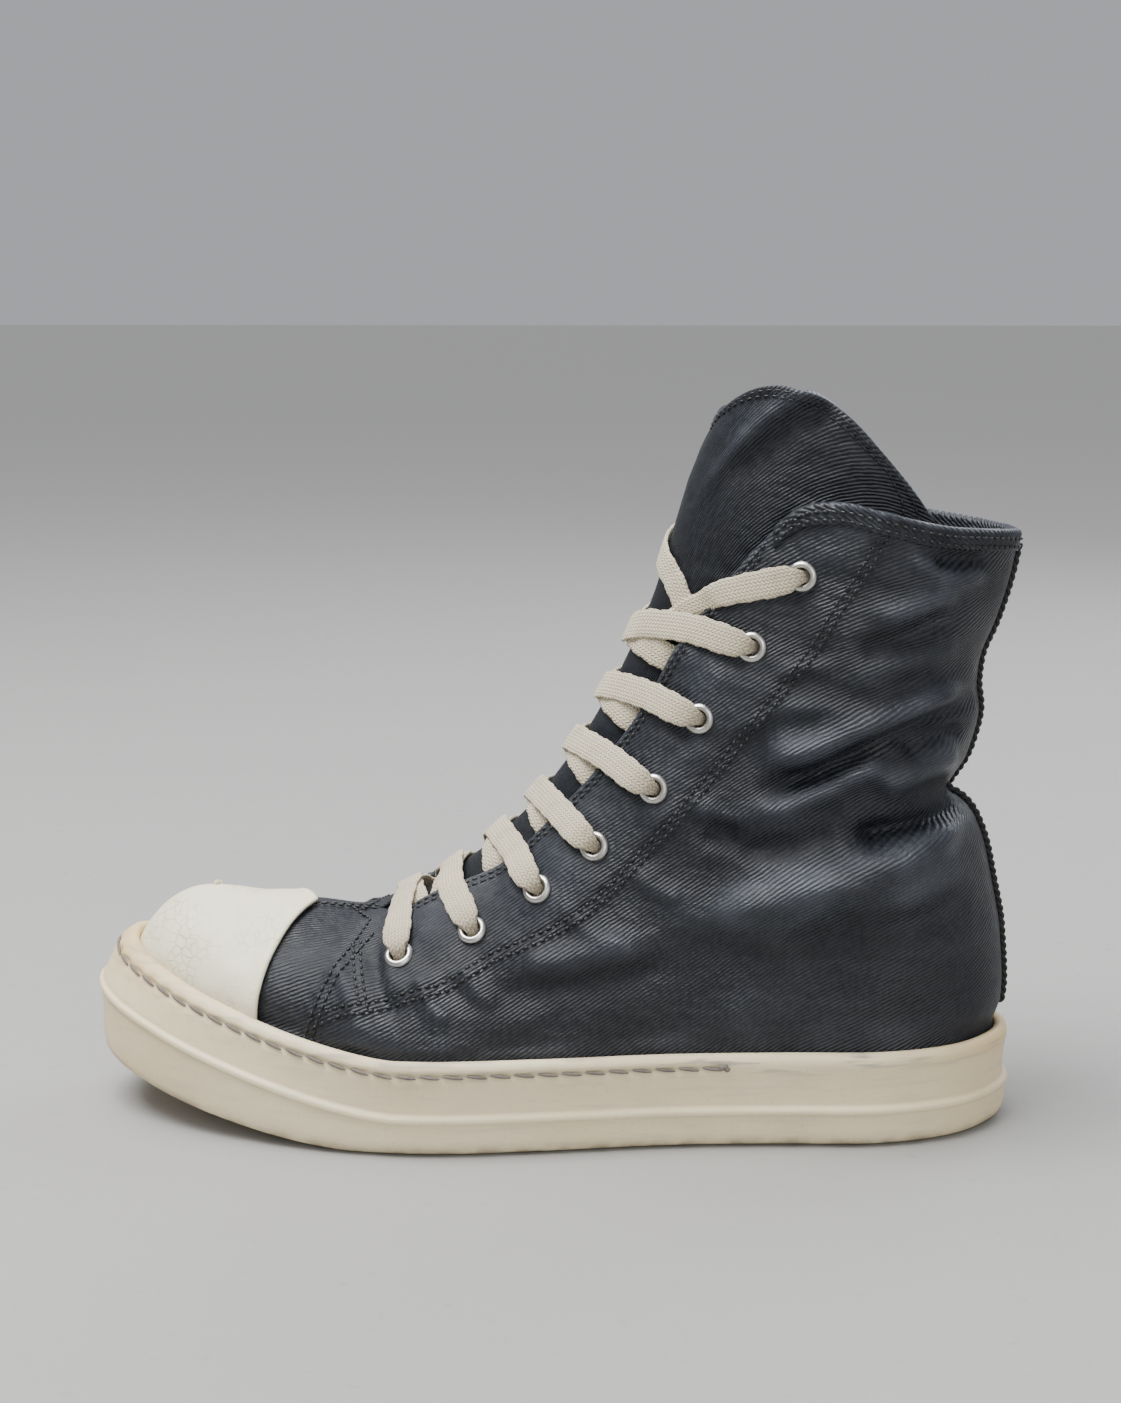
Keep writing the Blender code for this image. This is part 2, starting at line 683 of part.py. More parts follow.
def over_tongue(level, sideways, lift):
    """Point over the tongue at a level; sideways runs from the outer throat edge (-1) to the inner (1)."""
    side = 1 if sideways > 0 else -1
    target = abs(sideways) * abs(top_point(edge_angle(side, level)).y)
    low, high = 0.0, 0.9
    for _ in range(18):
        across = (low + high) / 2
        if abs(tongue_point(level, -side * across).y) < target:
            low = across
        else:
            high = across
    step = 0.01
    point = tongue_point(level, -side * low)
    along = tongue_point(level + step, -side * low) - tongue_point(level - step, -side * low)
    over = tongue_point(level, -side * (low + step)) - tongue_point(level, -side * (low - step))
    normal = along.cross(over).normalized()
    if normal.x - normal.z > 0:
        normal.negate()
    return point + normal * lift, normal


def drawn_tight(places):
    """Leaves out each place that a strand pulled tight would pass over."""
    k = 1
    while k < len(places) - 1:
        before, (here, normal), after = places[k - 1][0], places[k], places[k + 1][0]
        span = after - before
        chord = before + span * ((here - before).dot(span) / span.length_squared)
        if (chord - here).dot(normal) > 0:
            places.pop(k)
            k = max(k - 1, 1)
        else:
            k += 1
    return places


def strand_route(side, number, crest, far, reach, levels):
    """Centres and facings of a strand from its eyelet over the tongue towards the opposite facing."""
    lift = LACE_THICKNESS / 2 + (FIRST_LACE_CLEAR if number == 1 else LACE_CLEAR)
    hump = LACE_THICKNESS * LACE_HUMP if side < 0 else 0.0
    eyelet, normal = eyelet_point(side, number)
    edge = edge_angle(side, level_between(levels, number))
    edge_normal = upper_normal(edge, 0.97)
    over_edge = top_point(edge) + edge_normal * lift * 1.15
    towards = over_edge - eyelet
    towards = (towards - normal * towards.dot(normal)).normalized()
    places = [(eyelet + towards * (EYELET_OUTER / 2 + LACE_CLEAR) + normal * lift, normal)]
    places.append((over_edge, edge_normal))
    for share in LACE_STEPS:
        if share > reach:
            break
        if share < 0:
            number_here = number + (crest - number) * (share + 1)
        else:
            number_here = crest + (far - crest) * share
        level = level_between(levels, number_here)
        over = lift + hump * math.cos(share * math.pi / 2) ** 2
        places.append(over_tongue(level, share * -side, over))
    return drawn_tight(places)


def build_lace_crossings():
    """The two strands of each crossing, joined where they cross."""
    levels = lace_levels()
    for number, (crest, far, reach) in enumerate(LACE_CROSSINGS, 1):
        strands = []
        for side in (-1, 1):
            route = strand_route(side, number, number + crest, number + far, reach, levels)
            name = "lace_crossing_{}".format(number) if side < 0 else "lace_under_{}".format(number)
            centres, ups = zip(*route)
            strip = ribbon_mesh(centres, ups, LACE_WIDTH, LACE_THICKNESS)
            strands.append(new_object(name, strip, "lace_cotton"))
        over, under = strands
        join = over.modifiers.new("Join", "BOOLEAN")
        join.operation = "UNION"
        join.solver = "EXACT"
        join.object = under
        under.hide_render = True
        under.display_type = "WIRE"


def clear_scene():
    for obj in list(bpy.data.objects):
        bpy.data.objects.remove(obj, do_unlink=True)


def main():
    clear_scene()
    build_sole()
    build_insole()
    upper = build_upper()
    build_toe_cap()
    build_collar_hem()
    build_heel_cord()
    build_tongue()
    places = eyelet_places()
    build_eyelets(places)
    punch_eyelet_holes(upper, places)
    build_lace_crossings()


main()
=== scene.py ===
"""Looks of a worn left high-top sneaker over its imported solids.

The toe points along -X, the outer side of the foot faces -Y and the leg opening faces +Z. The shoe's
surfaces are worked out in millimetres and become metres when a mesh is made.
"""

import logging
import math
from collections.abc import Callable, Sequence
from dataclasses import dataclass, field
from enum import Enum

import bmesh
import bpy
import numpy as np
from mathutils import Matrix, Vector


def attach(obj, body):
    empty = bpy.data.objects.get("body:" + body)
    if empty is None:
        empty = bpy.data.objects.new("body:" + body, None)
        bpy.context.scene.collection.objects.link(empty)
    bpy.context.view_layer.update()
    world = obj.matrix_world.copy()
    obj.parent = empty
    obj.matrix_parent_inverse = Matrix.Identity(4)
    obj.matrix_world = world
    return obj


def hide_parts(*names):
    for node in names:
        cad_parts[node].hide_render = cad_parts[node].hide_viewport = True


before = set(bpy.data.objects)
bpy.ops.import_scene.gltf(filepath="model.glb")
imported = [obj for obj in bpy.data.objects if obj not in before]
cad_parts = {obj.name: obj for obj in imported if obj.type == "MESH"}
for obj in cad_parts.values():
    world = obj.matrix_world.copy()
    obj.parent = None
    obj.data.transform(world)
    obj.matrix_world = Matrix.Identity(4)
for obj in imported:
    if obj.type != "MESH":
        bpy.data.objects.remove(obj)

Array = np.ndarray
Points = Sequence[tuple[float, ...]]
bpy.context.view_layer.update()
MM = 0.001
LOG = logging.getLogger("sneaker")


class Side(Enum):
    """The two sides of the foot, by the sign of Y."""

    OUTER = -1
    INNER = 1


def curve_through(points: Points | Array, x: Array | float, column: int = 1) -> Array:
    """Smooth curve through given points that rise in x.

    Args:
        points: Rows of x and the values at it.
        x: Where the curve is read.
        column: Which value of a row is read.

    Returns:
        The curve's values at x.
    """
    table = np.asarray(points, float)
    xs, ys = table[:, 0], table[:, column]
    x = np.clip(np.asarray(x, float), xs[0], xs[-1])
    k = np.arange(len(xs))
    before, after = np.maximum(k - 1, 0), np.minimum(k + 1, len(xs) - 1)
    slope = (ys[after] - ys[before]) / (xs[after] - xs[before])
    i = np.clip(np.searchsorted(xs, x, side="right") - 1, 0, len(xs) - 2)
    span = xs[i + 1] - xs[i]
    t = (x - xs[i]) / span
    near = 2 * t**3 - 3 * t**2 + 1
    bend = (t**3 - 2 * t**2 + t) * slope[i] + (t**3 - t**2) * slope[i + 1]
    return near * ys[i] + (1 - near) * ys[i + 1] + bend * span


def smooth_step(x: Array, low: float, high: float) -> Array:
    """Share from 0 at low to 1 at high, with soft ends."""
    t = np.clip((np.asarray(x, float) - low) / (high - low), 0, 1)
    return t * t * (3 - 2 * t)


def unit(vectors: Array) -> Array:
    """The vectors at length 1."""
    return vectors / np.maximum(np.linalg.norm(vectors, axis=-1, keepdims=True), 1e-9)


def stack(*parts: Array | float) -> Array:
    """Coordinates put together as points."""
    return np.stack(np.broadcast_arrays(*parts), axis=-1).astype(float)


def smooth_path(points: Points | Array, count: int) -> Array:
    """Evenly spaced points of a smooth path through a few points.

    Args:
        points: The points that the path goes through.
        count: How many points come back.

    Returns:
        The path's points.
    """
    table = np.asarray(points, float)
    steps = np.linalg.norm(np.diff(table, axis=0), axis=1)
    run = np.concatenate([[0.0], np.cumsum(steps)])
    table = np.column_stack([run, table])
    at = np.linspace(0, run[-1], count)
    return np.column_stack([curve_through(table, at, c) for c in range(1, table.shape[1])])


def path_distance(points: Array, path: Points) -> tuple[Array, Array, Array]:
    """How flat points lie to a path.

    Args:
        points: Points along the shoe and up, N by 2.
        path: Corners of the path.

    Returns:
        Distance, signed distance (above the path positive) and share along the path.
    """
    corners = smooth_path(path, 4 * len(path)) if len(path) > 2 else np.asarray(path, float)
    steps = np.diff(corners, axis=0)
    lengths = np.linalg.norm(steps, axis=1)
    best = np.full(len(points), 1e9)
    signed, share = np.zeros(len(points)), np.zeros(len(points))
    run = 0.0
    for start, step, length in zip(corners, steps, lengths):
        away = points - start
        along = np.clip(away @ step / length**2, 0, 1)
        rest = away - along[:, None] * step
        distance = np.linalg.norm(rest, axis=1)
        nearer = distance < best
        turn = step[0] * away[:, 1] - step[1] * away[:, 0]
        best = np.where(nearer, distance, best)
        signed = np.where(nearer, distance * np.sign(turn), signed)
        share = np.where(nearer, (run + along * length) / lengths.sum(), share)
        run += length
    return best, signed, share


def ripple(points: Array, wave: float, seed: float = 0.0) -> Array:
    """Gentle uneven waves over points, between about -1 and 1.

    Args:
        points: Points, N by 3.
        wave: Typical length of a wave.
        seed: Shifts the pattern.

    Returns:
        The height of the waves.
    """
    total = np.zeros(len(points))
    for k, turn in enumerate((0.3, 1.2, 2.1, 2.9, 4.4)):
        scale = math.tau / wave * (0.7 + 0.17 * k)
        flat = points[:, 0] * math.cos(turn) + points[:, 2] * math.sin(turn) + 0.4 * points[:, 1]
        total += np.sin(flat * scale + 2.1 * k + seed + np.sin(points[:, 2] * scale * 0.4 + k))
    return total / 3.2


@dataclass
class Sheet:
    """Points of a fine surface with its pattern coordinates and masks."""

    points: Array
    uv: Array
    masks: dict[str, Array] = field(default_factory=dict)


def fine_sheet(
    name: str, columns: int, rows: int, place: Callable[[Array, Array], Sheet], closed: bool = False
) -> bpy.types.Object:
    """Makes a surface from a grid whose points a function places.

    Args:
        name: The piece's name.
        columns: Faces along u.
        rows: Faces along v.
        place: Gives the surface at shares u and v, in millimetres.
        closed: Whether the surface closes on itself.

    Returns:
        The new object.
    """
    grid = bmesh.new()
    bmesh.ops.create_grid(grid, x_segments=columns, y_segments=rows, size=1.0)
    mesh = bpy.data.meshes.new(name)
    grid.to_mesh(mesh)
    grid.free()
    flat = np.empty(len(mesh.vertices) * 3)
    mesh.vertices.foreach_get("co", flat)
    flat = flat.reshape(-1, 3)
    low, high = flat.min(0), flat.max(0)
    sheet = place((flat[:, 0] - low[0]) / (high[0] - low[0]), (flat[:, 1] - low[1]) / (high[1] - low[1]))
    mesh.vertices.foreach_set("co", (sheet.points * MM).ravel())
    corners = np.empty(len(mesh.loops), dtype=np.int32)
    mesh.loops.foreach_get("vertex_index", corners)
    mesh.uv_layers.new(name="UVMap").data.foreach_set("uv", (sheet.uv[corners] * MM).ravel())
    for mask, values in sheet.masks.items():
        mesh.attributes.new(mask, "FLOAT", "POINT").data.foreach_set("value", np.ravel(values).astype(float))
    body = bmesh.new()
    body.from_mesh(mesh)
    bmesh.ops.remove_doubles(body, verts=body.verts, dist=0.005 * MM)
    if closed:
        bmesh.ops.recalc_face_normals(body, faces=body.faces)
    else:
        bmesh.ops.reverse_faces(body, faces=body.faces)
    body.to_mesh(mesh)
    body.free()
    mesh.shade_smooth()
    piece = bpy.data.objects.new(name, mesh)
    bpy.context.scene.collection.objects.link(piece)
    return piece


def sweep(
    name: str, centres: Array, ups: Array, widths: Array, heights: Array, around: int = 10, flat: float = 1.0
) -> bpy.types.Object:
    """Makes a closed strip or cord along a path.

    Args:
        name: The piece's name.
        centres: Middle points of the sections.
        ups: The way each section's flat side faces.
        widths: Width of each section.
        heights: Thickness of each section.
        around: Faces round a section.
        flat: Exponent of the section: 1 is round, less is flatter.

    Returns:
        The new object.
    """
    along = unit(np.gradient(centres, axis=0))
    across = unit(np.cross(along, ups))
    facing = unit(np.cross(across, along))
    run = np.concatenate([[0.0], np.cumsum(np.linalg.norm(np.diff(centres, axis=0), axis=1))])
    last = len(centres) - 1

    def place(u: Array, v: Array) -> Sheet:
        """Points round and along the strip."""
        i = np.rint(v * (last + 2)).astype(int) - 1
        ends = ((i < 0) | (i > last))[:, None]
        i = np.clip(i, 0, last)
        turn = math.tau * u
        side = np.sign(np.cos(turn)) * np.abs(np.cos(turn)) ** flat * widths[i] / 2
        high = np.sign(np.sin(turn)) * np.abs(np.sin(turn)) ** flat * heights[i] / 2
        points = centres[i] + np.where(ends, 0.0, across[i] * side[:, None] + facing[i] * high[:, None])
        return Sheet(points, stack(side, run[i]), {"across": side / np.maximum(widths[i] / 2, 0.1)})

    return fine_sheet(name, around, last + 2, place, closed=True)


def add_stitches(
    mesh: bmesh.types.BMesh, path: Array, ups: Array, pitch: float, length: float, thickness: float,
    slant: float = 0.0,
) -> None:
    """Adds a row of stitches to a mesh.

    Args:
        mesh: Where the stitches go.
        path: Points of the seam.
        ups: The way the surface faces at each point.
        pitch: From one stitch to the next.
        length: Length of a stitch.
        thickness: Thickness of the thread.
        slant: How far each stitch turns out of the seam, in degrees.
    """
    run = np.concatenate([[0.0], np.cumsum(np.linalg.norm(np.diff(path, axis=0), axis=1))])
    at = np.arange(pitch / 2, run[-1], pitch)
    centres = np.column_stack([np.interp(at, run, path[:, c]) for c in range(3)])
    aheads = np.column_stack([np.interp(at + 0.5, run, path[:, c]) for c in range(3)])
    behinds = np.column_stack([np.interp(at - 0.5, run, path[:, c]) for c in range(3)])
    faces = unit(np.column_stack([np.interp(at, run, ups[:, c]) for c in range(3)]))
    size = Matrix.Diagonal((thickness / 2, thickness / 2, length / 2, 1.0))
    row = bmesh.new()
    for k, (centre, along, up) in enumerate(zip(centres, unit(aheads - behinds), faces)):
        axis = Vector(along) @ Matrix.Rotation(math.radians(slant), 3, Vector(up))
        frame_axes = Matrix((Vector(up).cross(axis), Vector(up), axis)).transposed().to_4x4()
        place = Matrix.Translation(centre * MM) @ frame_axes @ Matrix.Scale(MM, 4) @ size
        bmesh.ops.create_uvsphere(row, u_segments=6, v_segments=5, radius=1.0, matrix=place)
    part = bpy.data.meshes.new("stitch_row")
    row.to_mesh(part)
    row.free()
    mesh.from_mesh(part)
    bpy.data.meshes.remove(part)


def object_of(name: str, mesh: bmesh.types.BMesh) -> bpy.types.Object:
    """Makes a named object of a finished bmesh."""
    data = bpy.data.meshes.new(name)
    mesh.to_mesh(data)
    mesh.free()
    data.shade_smooth()
    piece = bpy.data.objects.new(name, data)
    bpy.context.scene.collection.objects.link(piece)
    return piece


def add_wall(piece: bpy.types.Object, thickness: float, outward: bool = False, inside: int = 0) -> None:
    """Gives a sheet its wall.

    Args:
        piece: The sheet.
        thickness: Thickness in millimetres.
        outward: Whether the wall stands in front of the sheet.
        inside: Material slot of the wall's far side.
    """
    wall = piece.modifiers.new("Wall", "SOLIDIFY")
    wall.thickness = thickness * MM
    wall.offset = 1.0 if outward else -1.0
    wall.material_offset = inside


def dress(piece: bpy.types.Object, slot: str, finishes: Sequence[bpy.types.Material], *nodes: str) -> None:
    """Gives a piece its finishes and its place in the frame.

    Args:
        piece: The finished piece.
        slot: The record's material slot; not used.
        finishes: Its materials.
        nodes: The solids that it stands for.
    """
    piece.data.materials.clear()
    for finish in finishes:
        piece.data.materials.append(finish)
    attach(piece, "root")
    if nodes:
        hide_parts(*nodes)
    LOG.info("%s made", piece.name)


PLAN = (
    (-180, -0.02), (-165, -0.30), (-150, -0.565), (-135, -0.72), (-120, -0.755), (-105, -0.81),
    (-90, -0.925), (-75, -1.0), (-60, -0.915), (-45, -0.74), (-30, -0.515), (-15, -0.255),
    (0, 0.07), (15, 0.39), (30, 0.63), (45, 0.83), (60, 0.965), (70, 1.0), (82, 0.93), (90, 0.85),
    (105, 0.72), (120, 0.69), (135, 0.67), (150, 0.525), (165, 0.265), (180, -0.02),
)
VAMP_LINE = (
    (0, -0.365, 1.0), (15, -0.357, 1.0), (30, -0.331, 0.987), (45, -0.287, 0.962), (52, -0.256, 0.944),
    (60, -0.215, 0.925), (66, -0.176, 0.925),
)
OPEN_LINE = (
    (72, -0.156, 0.42, 0.341), (78, -0.111, 0.45, 0.376), (84, -0.055, 0.47, 0.415),
    (90, 0.0, 0.49, 0.488), (96, 0.049, 0.52, 0.571), (102, 0.095, 0.56, 0.668),
    (108, 0.143, 0.60, 0.788), (114, 0.195, 0.67, 0.898), (120, 0.248, 0.77, 0.983),
    (126, 0.293, 0.92, 1.0), (132, 0.336, 1.0, 0.988), (138, 0.375, 0.98, 0.973),
    (144, 0.408, 0.88, 0.963), (150, 0.436, 0.71, 0.958), (156, 0.459, 0.515, 0.954),
    (162, 0.475, 0.35, 0.951), (168, 0.485, 0.21, 0.949), (174, 0.489, 0.09, 0.947),
    (180, 0.490, 0.0, 0.946),
)
BACK_SEAM = (
    (0.160, 0.0), (0.190, -0.0065), (0.235, -0.0075), (0.300, -0.0035), (0.337, 0.0), (0.405, 0.010),
    (0.445, 0.0165), (0.475, 0.024), (0.503, 0.034), (0.528, 0.049), (0.541, 0.060), (0.556, 0.057),
    (0.590, 0.043), (0.634, 0.034), (0.670, 0.031), (0.717, 0.0345), (0.761, 0.031), (0.810, 0.019),
    (0.878, 0.007), (0.946, 0.0),
)
BACK_SHARE = ((90, 0.0), (105, 0.06), (120, 0.22), (135, 0.52), (150, 0.84), (165, 0.97), (180, 1.0))
ARCH_END = (
    (0, 90.0), (66, 90.0), (72, 68.0), (78, 64.0), (84, 60.0), (90, 56.0), (102, 52.0), (114, 48.0),
    (126, 42.0), (180, 40.0),
)


@dataclass(frozen=True)
class Last:
    """Main surfaces of the shoe by angle round its plan (0 toe, 180 heel, negative outer side)."""

    sole_length: float = 307.0
    ball_width: float = 110.0
    rim_height: float = 31.5
    ridge_height: float = 12.5
    cup_wall: float = 5.0
    cup_floor: float = 12.0
    toe_spring: float = 18.0
    toe_ridge_lift: float = 29.0
    toe_rim_lift: float = 26.5
    toe_slant: float = 9.0
    vamp_height: float = 71.0
    collar_height: float = 205.0
    collar_width: float = 66.0
    gap: float = 0.3
    vamp_end: float = 64.3
    throat_start: float = 70.7

    def toe_lift(self, x: Array, power: float = 1.35, start: float = -0.155) -> Array:
        """Share of the toe's rise at x."""
        along = (start * self.sole_length - np.asarray(x, float)) / ((start + 0.5) * self.sole_length)
        return np.maximum(0.0, along) ** power

    def underside(self, x: Array) -> Array:
        """Height of the sole's underside at x."""
        return self.toe_spring * self.toe_lift(x, 1.6, -0.2)

    def ridge(self, x: Array) -> Array:
        """Height of the sole's mid ridge at x."""
        return self.ridge_height + self.toe_ridge_lift * self.toe_lift(x)

    def rim(self, x: Array) -> Array:
        """Height of the sole's rim at x."""
        return self.rim_height + self.toe_rim_lift * self.toe_lift(x)

    def plan(self, angle: Array) -> Array:
        """Point of the sole's widest outline."""
        angle = (np.asarray(angle, float) + 180) % 360 - 180
        x = -np.cos(np.radians(angle)) * self.sole_length / 2
        return stack(x, curve_through(PLAN, angle) * self.ball_width / 2)

    def inset(self, angle: Array, inset: Array | float) -> Array:
        """Point inside the sole's widest outline."""
        along = self.plan(np.asarray(angle) + 0.5) - self.plan(np.asarray(angle) - 0.5)
        outward = unit(stack(-along[..., 1], along[..., 0]))
        return self.plan(angle) - outward * np.asarray(inset, float)[..., None]

    def slant(self, angle: Array) -> Array:
        """How far the toe's upper band leans in."""
        return self.toe_slant * self.toe_lift(self.plan(angle)[..., 0])

    def middle_y(self, angle: Array) -> Array:
        """Sideways place of the shoe's middle line."""
        toe, heel = float(self.plan(0.0)[1]), float(self.plan(180.0)[1])
        return curve_through(((0, toe), (60, toe / 4), (90, 0), (180, heel)), np.abs(angle))

    def arch_base(self, angle: Array) -> tuple[Array, Array]:
        """Foot point of the upper and the height where its arch starts."""
        foot = self.inset(angle, self.cup_wall + self.gap + self.slant(angle))
        x = foot[..., 0]
        return foot, self.rim(x) + self.gap - self.toe_slant * self.toe_lift(x)

    def top(self, angle: Array) -> Array:
        """Point of the vamp's middle, the throat edge or the collar."""
        turn = np.abs(angle)
        middle = self.middle_y(turn)
        side = np.where(np.asarray(angle) < 0, -1, 1)
        vamp = stack(
            curve_through(VAMP_LINE, turn, 1) * self.sole_length, middle,
            curve_through(VAMP_LINE, turn, 2) * self.vamp_height,
        )
        edge = stack(
            curve_through(OPEN_LINE, turn, 1) * self.sole_length,
            middle + side * curve_through(OPEN_LINE, turn, 2) * self.collar_width / 2,
            curve_through(OPEN_LINE, turn, 3) * self.collar_height,
        )
        return np.where((turn <= 66)[..., None], vamp, edge)

    def arch(self, angle: Array, row: Array) -> Array:
        """Point of the upper's section at an angle, before the throat's end is rounded."""
        foot, base = self.arch_base(angle)
        top = self.top(angle)
        end = np.radians(curve_through(ARCH_END, np.abs(angle)))
        turn = end * row
        inward = (1 - np.cos(turn)) / (1 - np.cos(end))
        z = base + (top[..., 2] - base) * np.sin(turn) / np.sin(end)
        x = foot[..., 0] + (top[..., 0] - foot[..., 0]) * inward
        y = foot[..., 1] + (top[..., 1] - foot[..., 1]) * inward
        back = curve_through(BACK_SEAM, z / self.collar_height) * self.sole_length
        return stack(x - curve_through(BACK_SHARE, np.abs(angle)) * back, y, z)

    def upper(self, angle: Array, row: Array) -> Array:
        """Point of the upper's outer face: row 0 is the sole's rim, row 1 the top line."""
        angle, row = np.broadcast_arrays(np.asarray(angle, float), np.asarray(row, float))
        side = np.where(angle < 0, -1.0, 1.0)
        share = np.clip((np.abs(angle) - self.vamp_end) / (self.throat_start - self.vamp_end), 0, 1)
        inside = ((share > 0) & (share < 1))[..., None]
        low = self.arch(side * self.vamp_end, row)
        high = self.arch(side * self.throat_start, row)
        return np.where(inside, low + (high - low) * share[..., None], self.arch(angle, row))

    def normal(self, angle: Array, row: Array) -> Array:
        """The way the upper's outer face looks."""
        low, high = np.maximum(row - 0.01, 0), np.minimum(row + 0.01, 1)
        up = self.upper(angle, high) - self.upper(angle, low)
        around = self.upper(np.asarray(angle) + 0.5, row) - self.upper(np.asarray(angle) - 0.5, row)
        crown = (smooth_step(np.abs(angle), 30, 8) * smooth_step(row, 0.85, 0.97))[..., None]
        return unit(-unit(np.cross(around, up)) * (1 - crown) + np.array((0.0, 0.0, 1.0)) * crown)

    def upper_at(self, side: Side, x: Array, z: Array) -> tuple[Array, Array]:
        """Angle and row of the upper's face at places seen from the side.

        Args:
            side: Side of the foot.
            x: Places along the shoe.
            z: Heights.

        Returns:
            Angles and rows.
        """
        x, z = np.atleast_1d(np.asarray(x, float)), np.atleast_1d(np.asarray(z, float))
        turn, row = np.full(x.shape, 100.0), np.full(x.shape, 0.7)
        for _ in range(40):
            here = self.upper(side.value * turn, row)
            by_turn = (self.upper(side.value * (turn + 0.1), row) - here) / 0.1
            by_row = (here - self.upper(side.value * turn, row - 0.001)) / 0.001
            dx, dz = x - here[:, 0], z - here[:, 2]
            area = by_turn[:, 0] * by_row[:, 2] - by_turn[:, 2] * by_row[:, 0]
            area = np.where(np.abs(area) < 1e-6, 1e-6, area)
            turn += np.clip((dx * by_row[:, 2] - dz * by_row[:, 0]) / area, -8, 8)
            row += np.clip((by_turn[:, 0] * dz - by_turn[:, 2] * dx) / area, -0.15, 0.15)
            turn, row = np.clip(turn, 45, 176), np.clip(row, 0.002, 1)
        return side.value * turn, row


LAST = Last()


class Wiring:
    """Adds and links the nodes of one material or node group."""

    def __init__(self, tree: bpy.types.NodeTree) -> None:
        """Starts on a node tree."""
        self.tree = tree

    def add(self, kind: str, inputs: dict | None = None, **settings: object) -> bpy.types.Node:
        """Adds a node.

        Args:
            kind: The node's type.
            inputs: Sockets to link, or values, by input name or number.
            settings: The node's own options.

        Returns:
            The node.
        """
        node = self.tree.nodes.new(kind)
        for key, value in settings.items():
            setattr(node, key, value)
        for key, value in (inputs or {}).items():
            if isinstance(value, bpy.types.NodeSocket):
                self.tree.links.new(value, node.inputs[key])
            else:
                node.inputs[key].default_value = value
        return node

    def math(self, operation: str, a: object, b: object = 0.0) -> bpy.types.NodeSocket:
        """Result of a sum of two values or sockets."""
        return self.add("ShaderNodeMath", {0: a, 1: b}, operation=operation).outputs[0]

    def fade(self, value: object, low: float, high: float) -> bpy.types.NodeSocket:
        """Share from 0 at low to 1 at high."""
        values = {"Value": value, "From Min": low, "From Max": high}
        return self.add("ShaderNodeMapRange", values, interpolation_type="SMOOTHSTEP").outputs[0]

    def noise(self, vector: object, scale: object, detail: float = 3.0) -> bpy.types.NodeSocket:
        """Fractal noise."""
        node = self.add("ShaderNodeTexNoise", {"Vector": vector, "Scale": scale, "Detail": detail})
        return node.outputs["Fac"]

    def stretch(self, vector: object, scale: tuple[float, float, float]) -> bpy.types.NodeSocket:
        """Coordinates scaled apart along the axes."""
        return self.add("ShaderNodeMapping", {"Vector": vector, "Scale": scale}).outputs[0]

    def mix(self, share: object, a: object, b: object) -> bpy.types.NodeSocket:
        """Colour between a and b."""
        return self.add("ShaderNodeMix", {0: share, 6: a, 7: b}, data_type="RGBA").outputs[2]

    def bump(self, height: object, distance: float, normal: object = None) -> bpy.types.NodeSocket:
        """Normal bent by a height of so many millimetres."""
        inputs = {"Height": height, "Distance": distance * MM, "Strength": 1.0}
        if normal is not None:
            inputs["Normal"] = normal
        return self.add("ShaderNodeBump", inputs).outputs[0]

    def mask(self, name: str) -> bpy.types.NodeSocket:
        """A mask stored on the surface."""
        return self.add("ShaderNodeAttribute", attribute_name=name).outputs["Fac"]


def effect(name: str, inputs: Sequence[str], outputs: Sequence[str]) -> tuple[Wiring, dict, bpy.types.Node]:
    """Starts a shared effect as a node group.

    Args:
        name: The group's name.
        inputs: Value inputs after the vector.
        outputs: Value outputs.

    Returns:
        Its wiring, its input sockets by name and its output node.
    """
    tree = bpy.data.node_groups.new(name, "ShaderNodeTree")
    tree.interface.new_socket(name="Vector", in_out="INPUT", socket_type="NodeSocketVector")
    for label in inputs:
        tree.interface.new_socket(name=label, in_out="INPUT", socket_type="NodeSocketFloat")
    for label in outputs:
        tree.interface.new_socket(name=label, in_out="OUTPUT", socket_type="NodeSocketFloat")
    wiring = Wiring(tree)
    entry = wiring.add("NodeGroupInput")
    return wiring, {s.name: s for s in entry.outputs if s.name}, wiring.add("NodeGroupOutput")


def twill_effect() -> bpy.types.NodeTree:
    """Diagonal ribs of a twill, with uneven yarns.

    Returns:
        A group with the ribs' height and the uneven tone of the yarns.
    """
    w, given, out = effect("twill", ("Pitch", "Turn"), ("Height", "Yarn"))
    parts = w.add("ShaderNodeSeparateXYZ", {0: given["Vector"]})
    wobble = w.math("MULTIPLY", w.noise(given["Vector"], 260.0, 2.0), 0.0007)
    along = w.math("MULTIPLY", parts.outputs[0], w.math("COSINE", given["Turn"]))
    across = w.math("MULTIPLY", parts.outputs[1], w.math("SINE", given["Turn"]))
    place = w.math("ADD", w.math("ADD", along, across), wobble)
    rib = w.math("SINE", w.math("DIVIDE", place, w.math("DIVIDE", given["Pitch"], math.tau)))
    yarn = w.math("SINE", w.math("DIVIDE", parts.outputs[1], w.math("DIVIDE", given["Pitch"], math.tau * 1.3)))
    height = w.math("ADD", w.math("MULTIPLY", rib, 0.42), w.math("MULTIPLY", yarn, 0.03))
    w.tree.links.new(w.math("ADD", height, 0.5), out.inputs["Height"])
    slub = w.noise(w.stretch(given["Vector"], (700.0, 260.0, 300.0)), 1.0, 4.0)
    w.tree.links.new(w.fade(slub, 0.36, 0.66), out.inputs["Yarn"])
    return w.tree


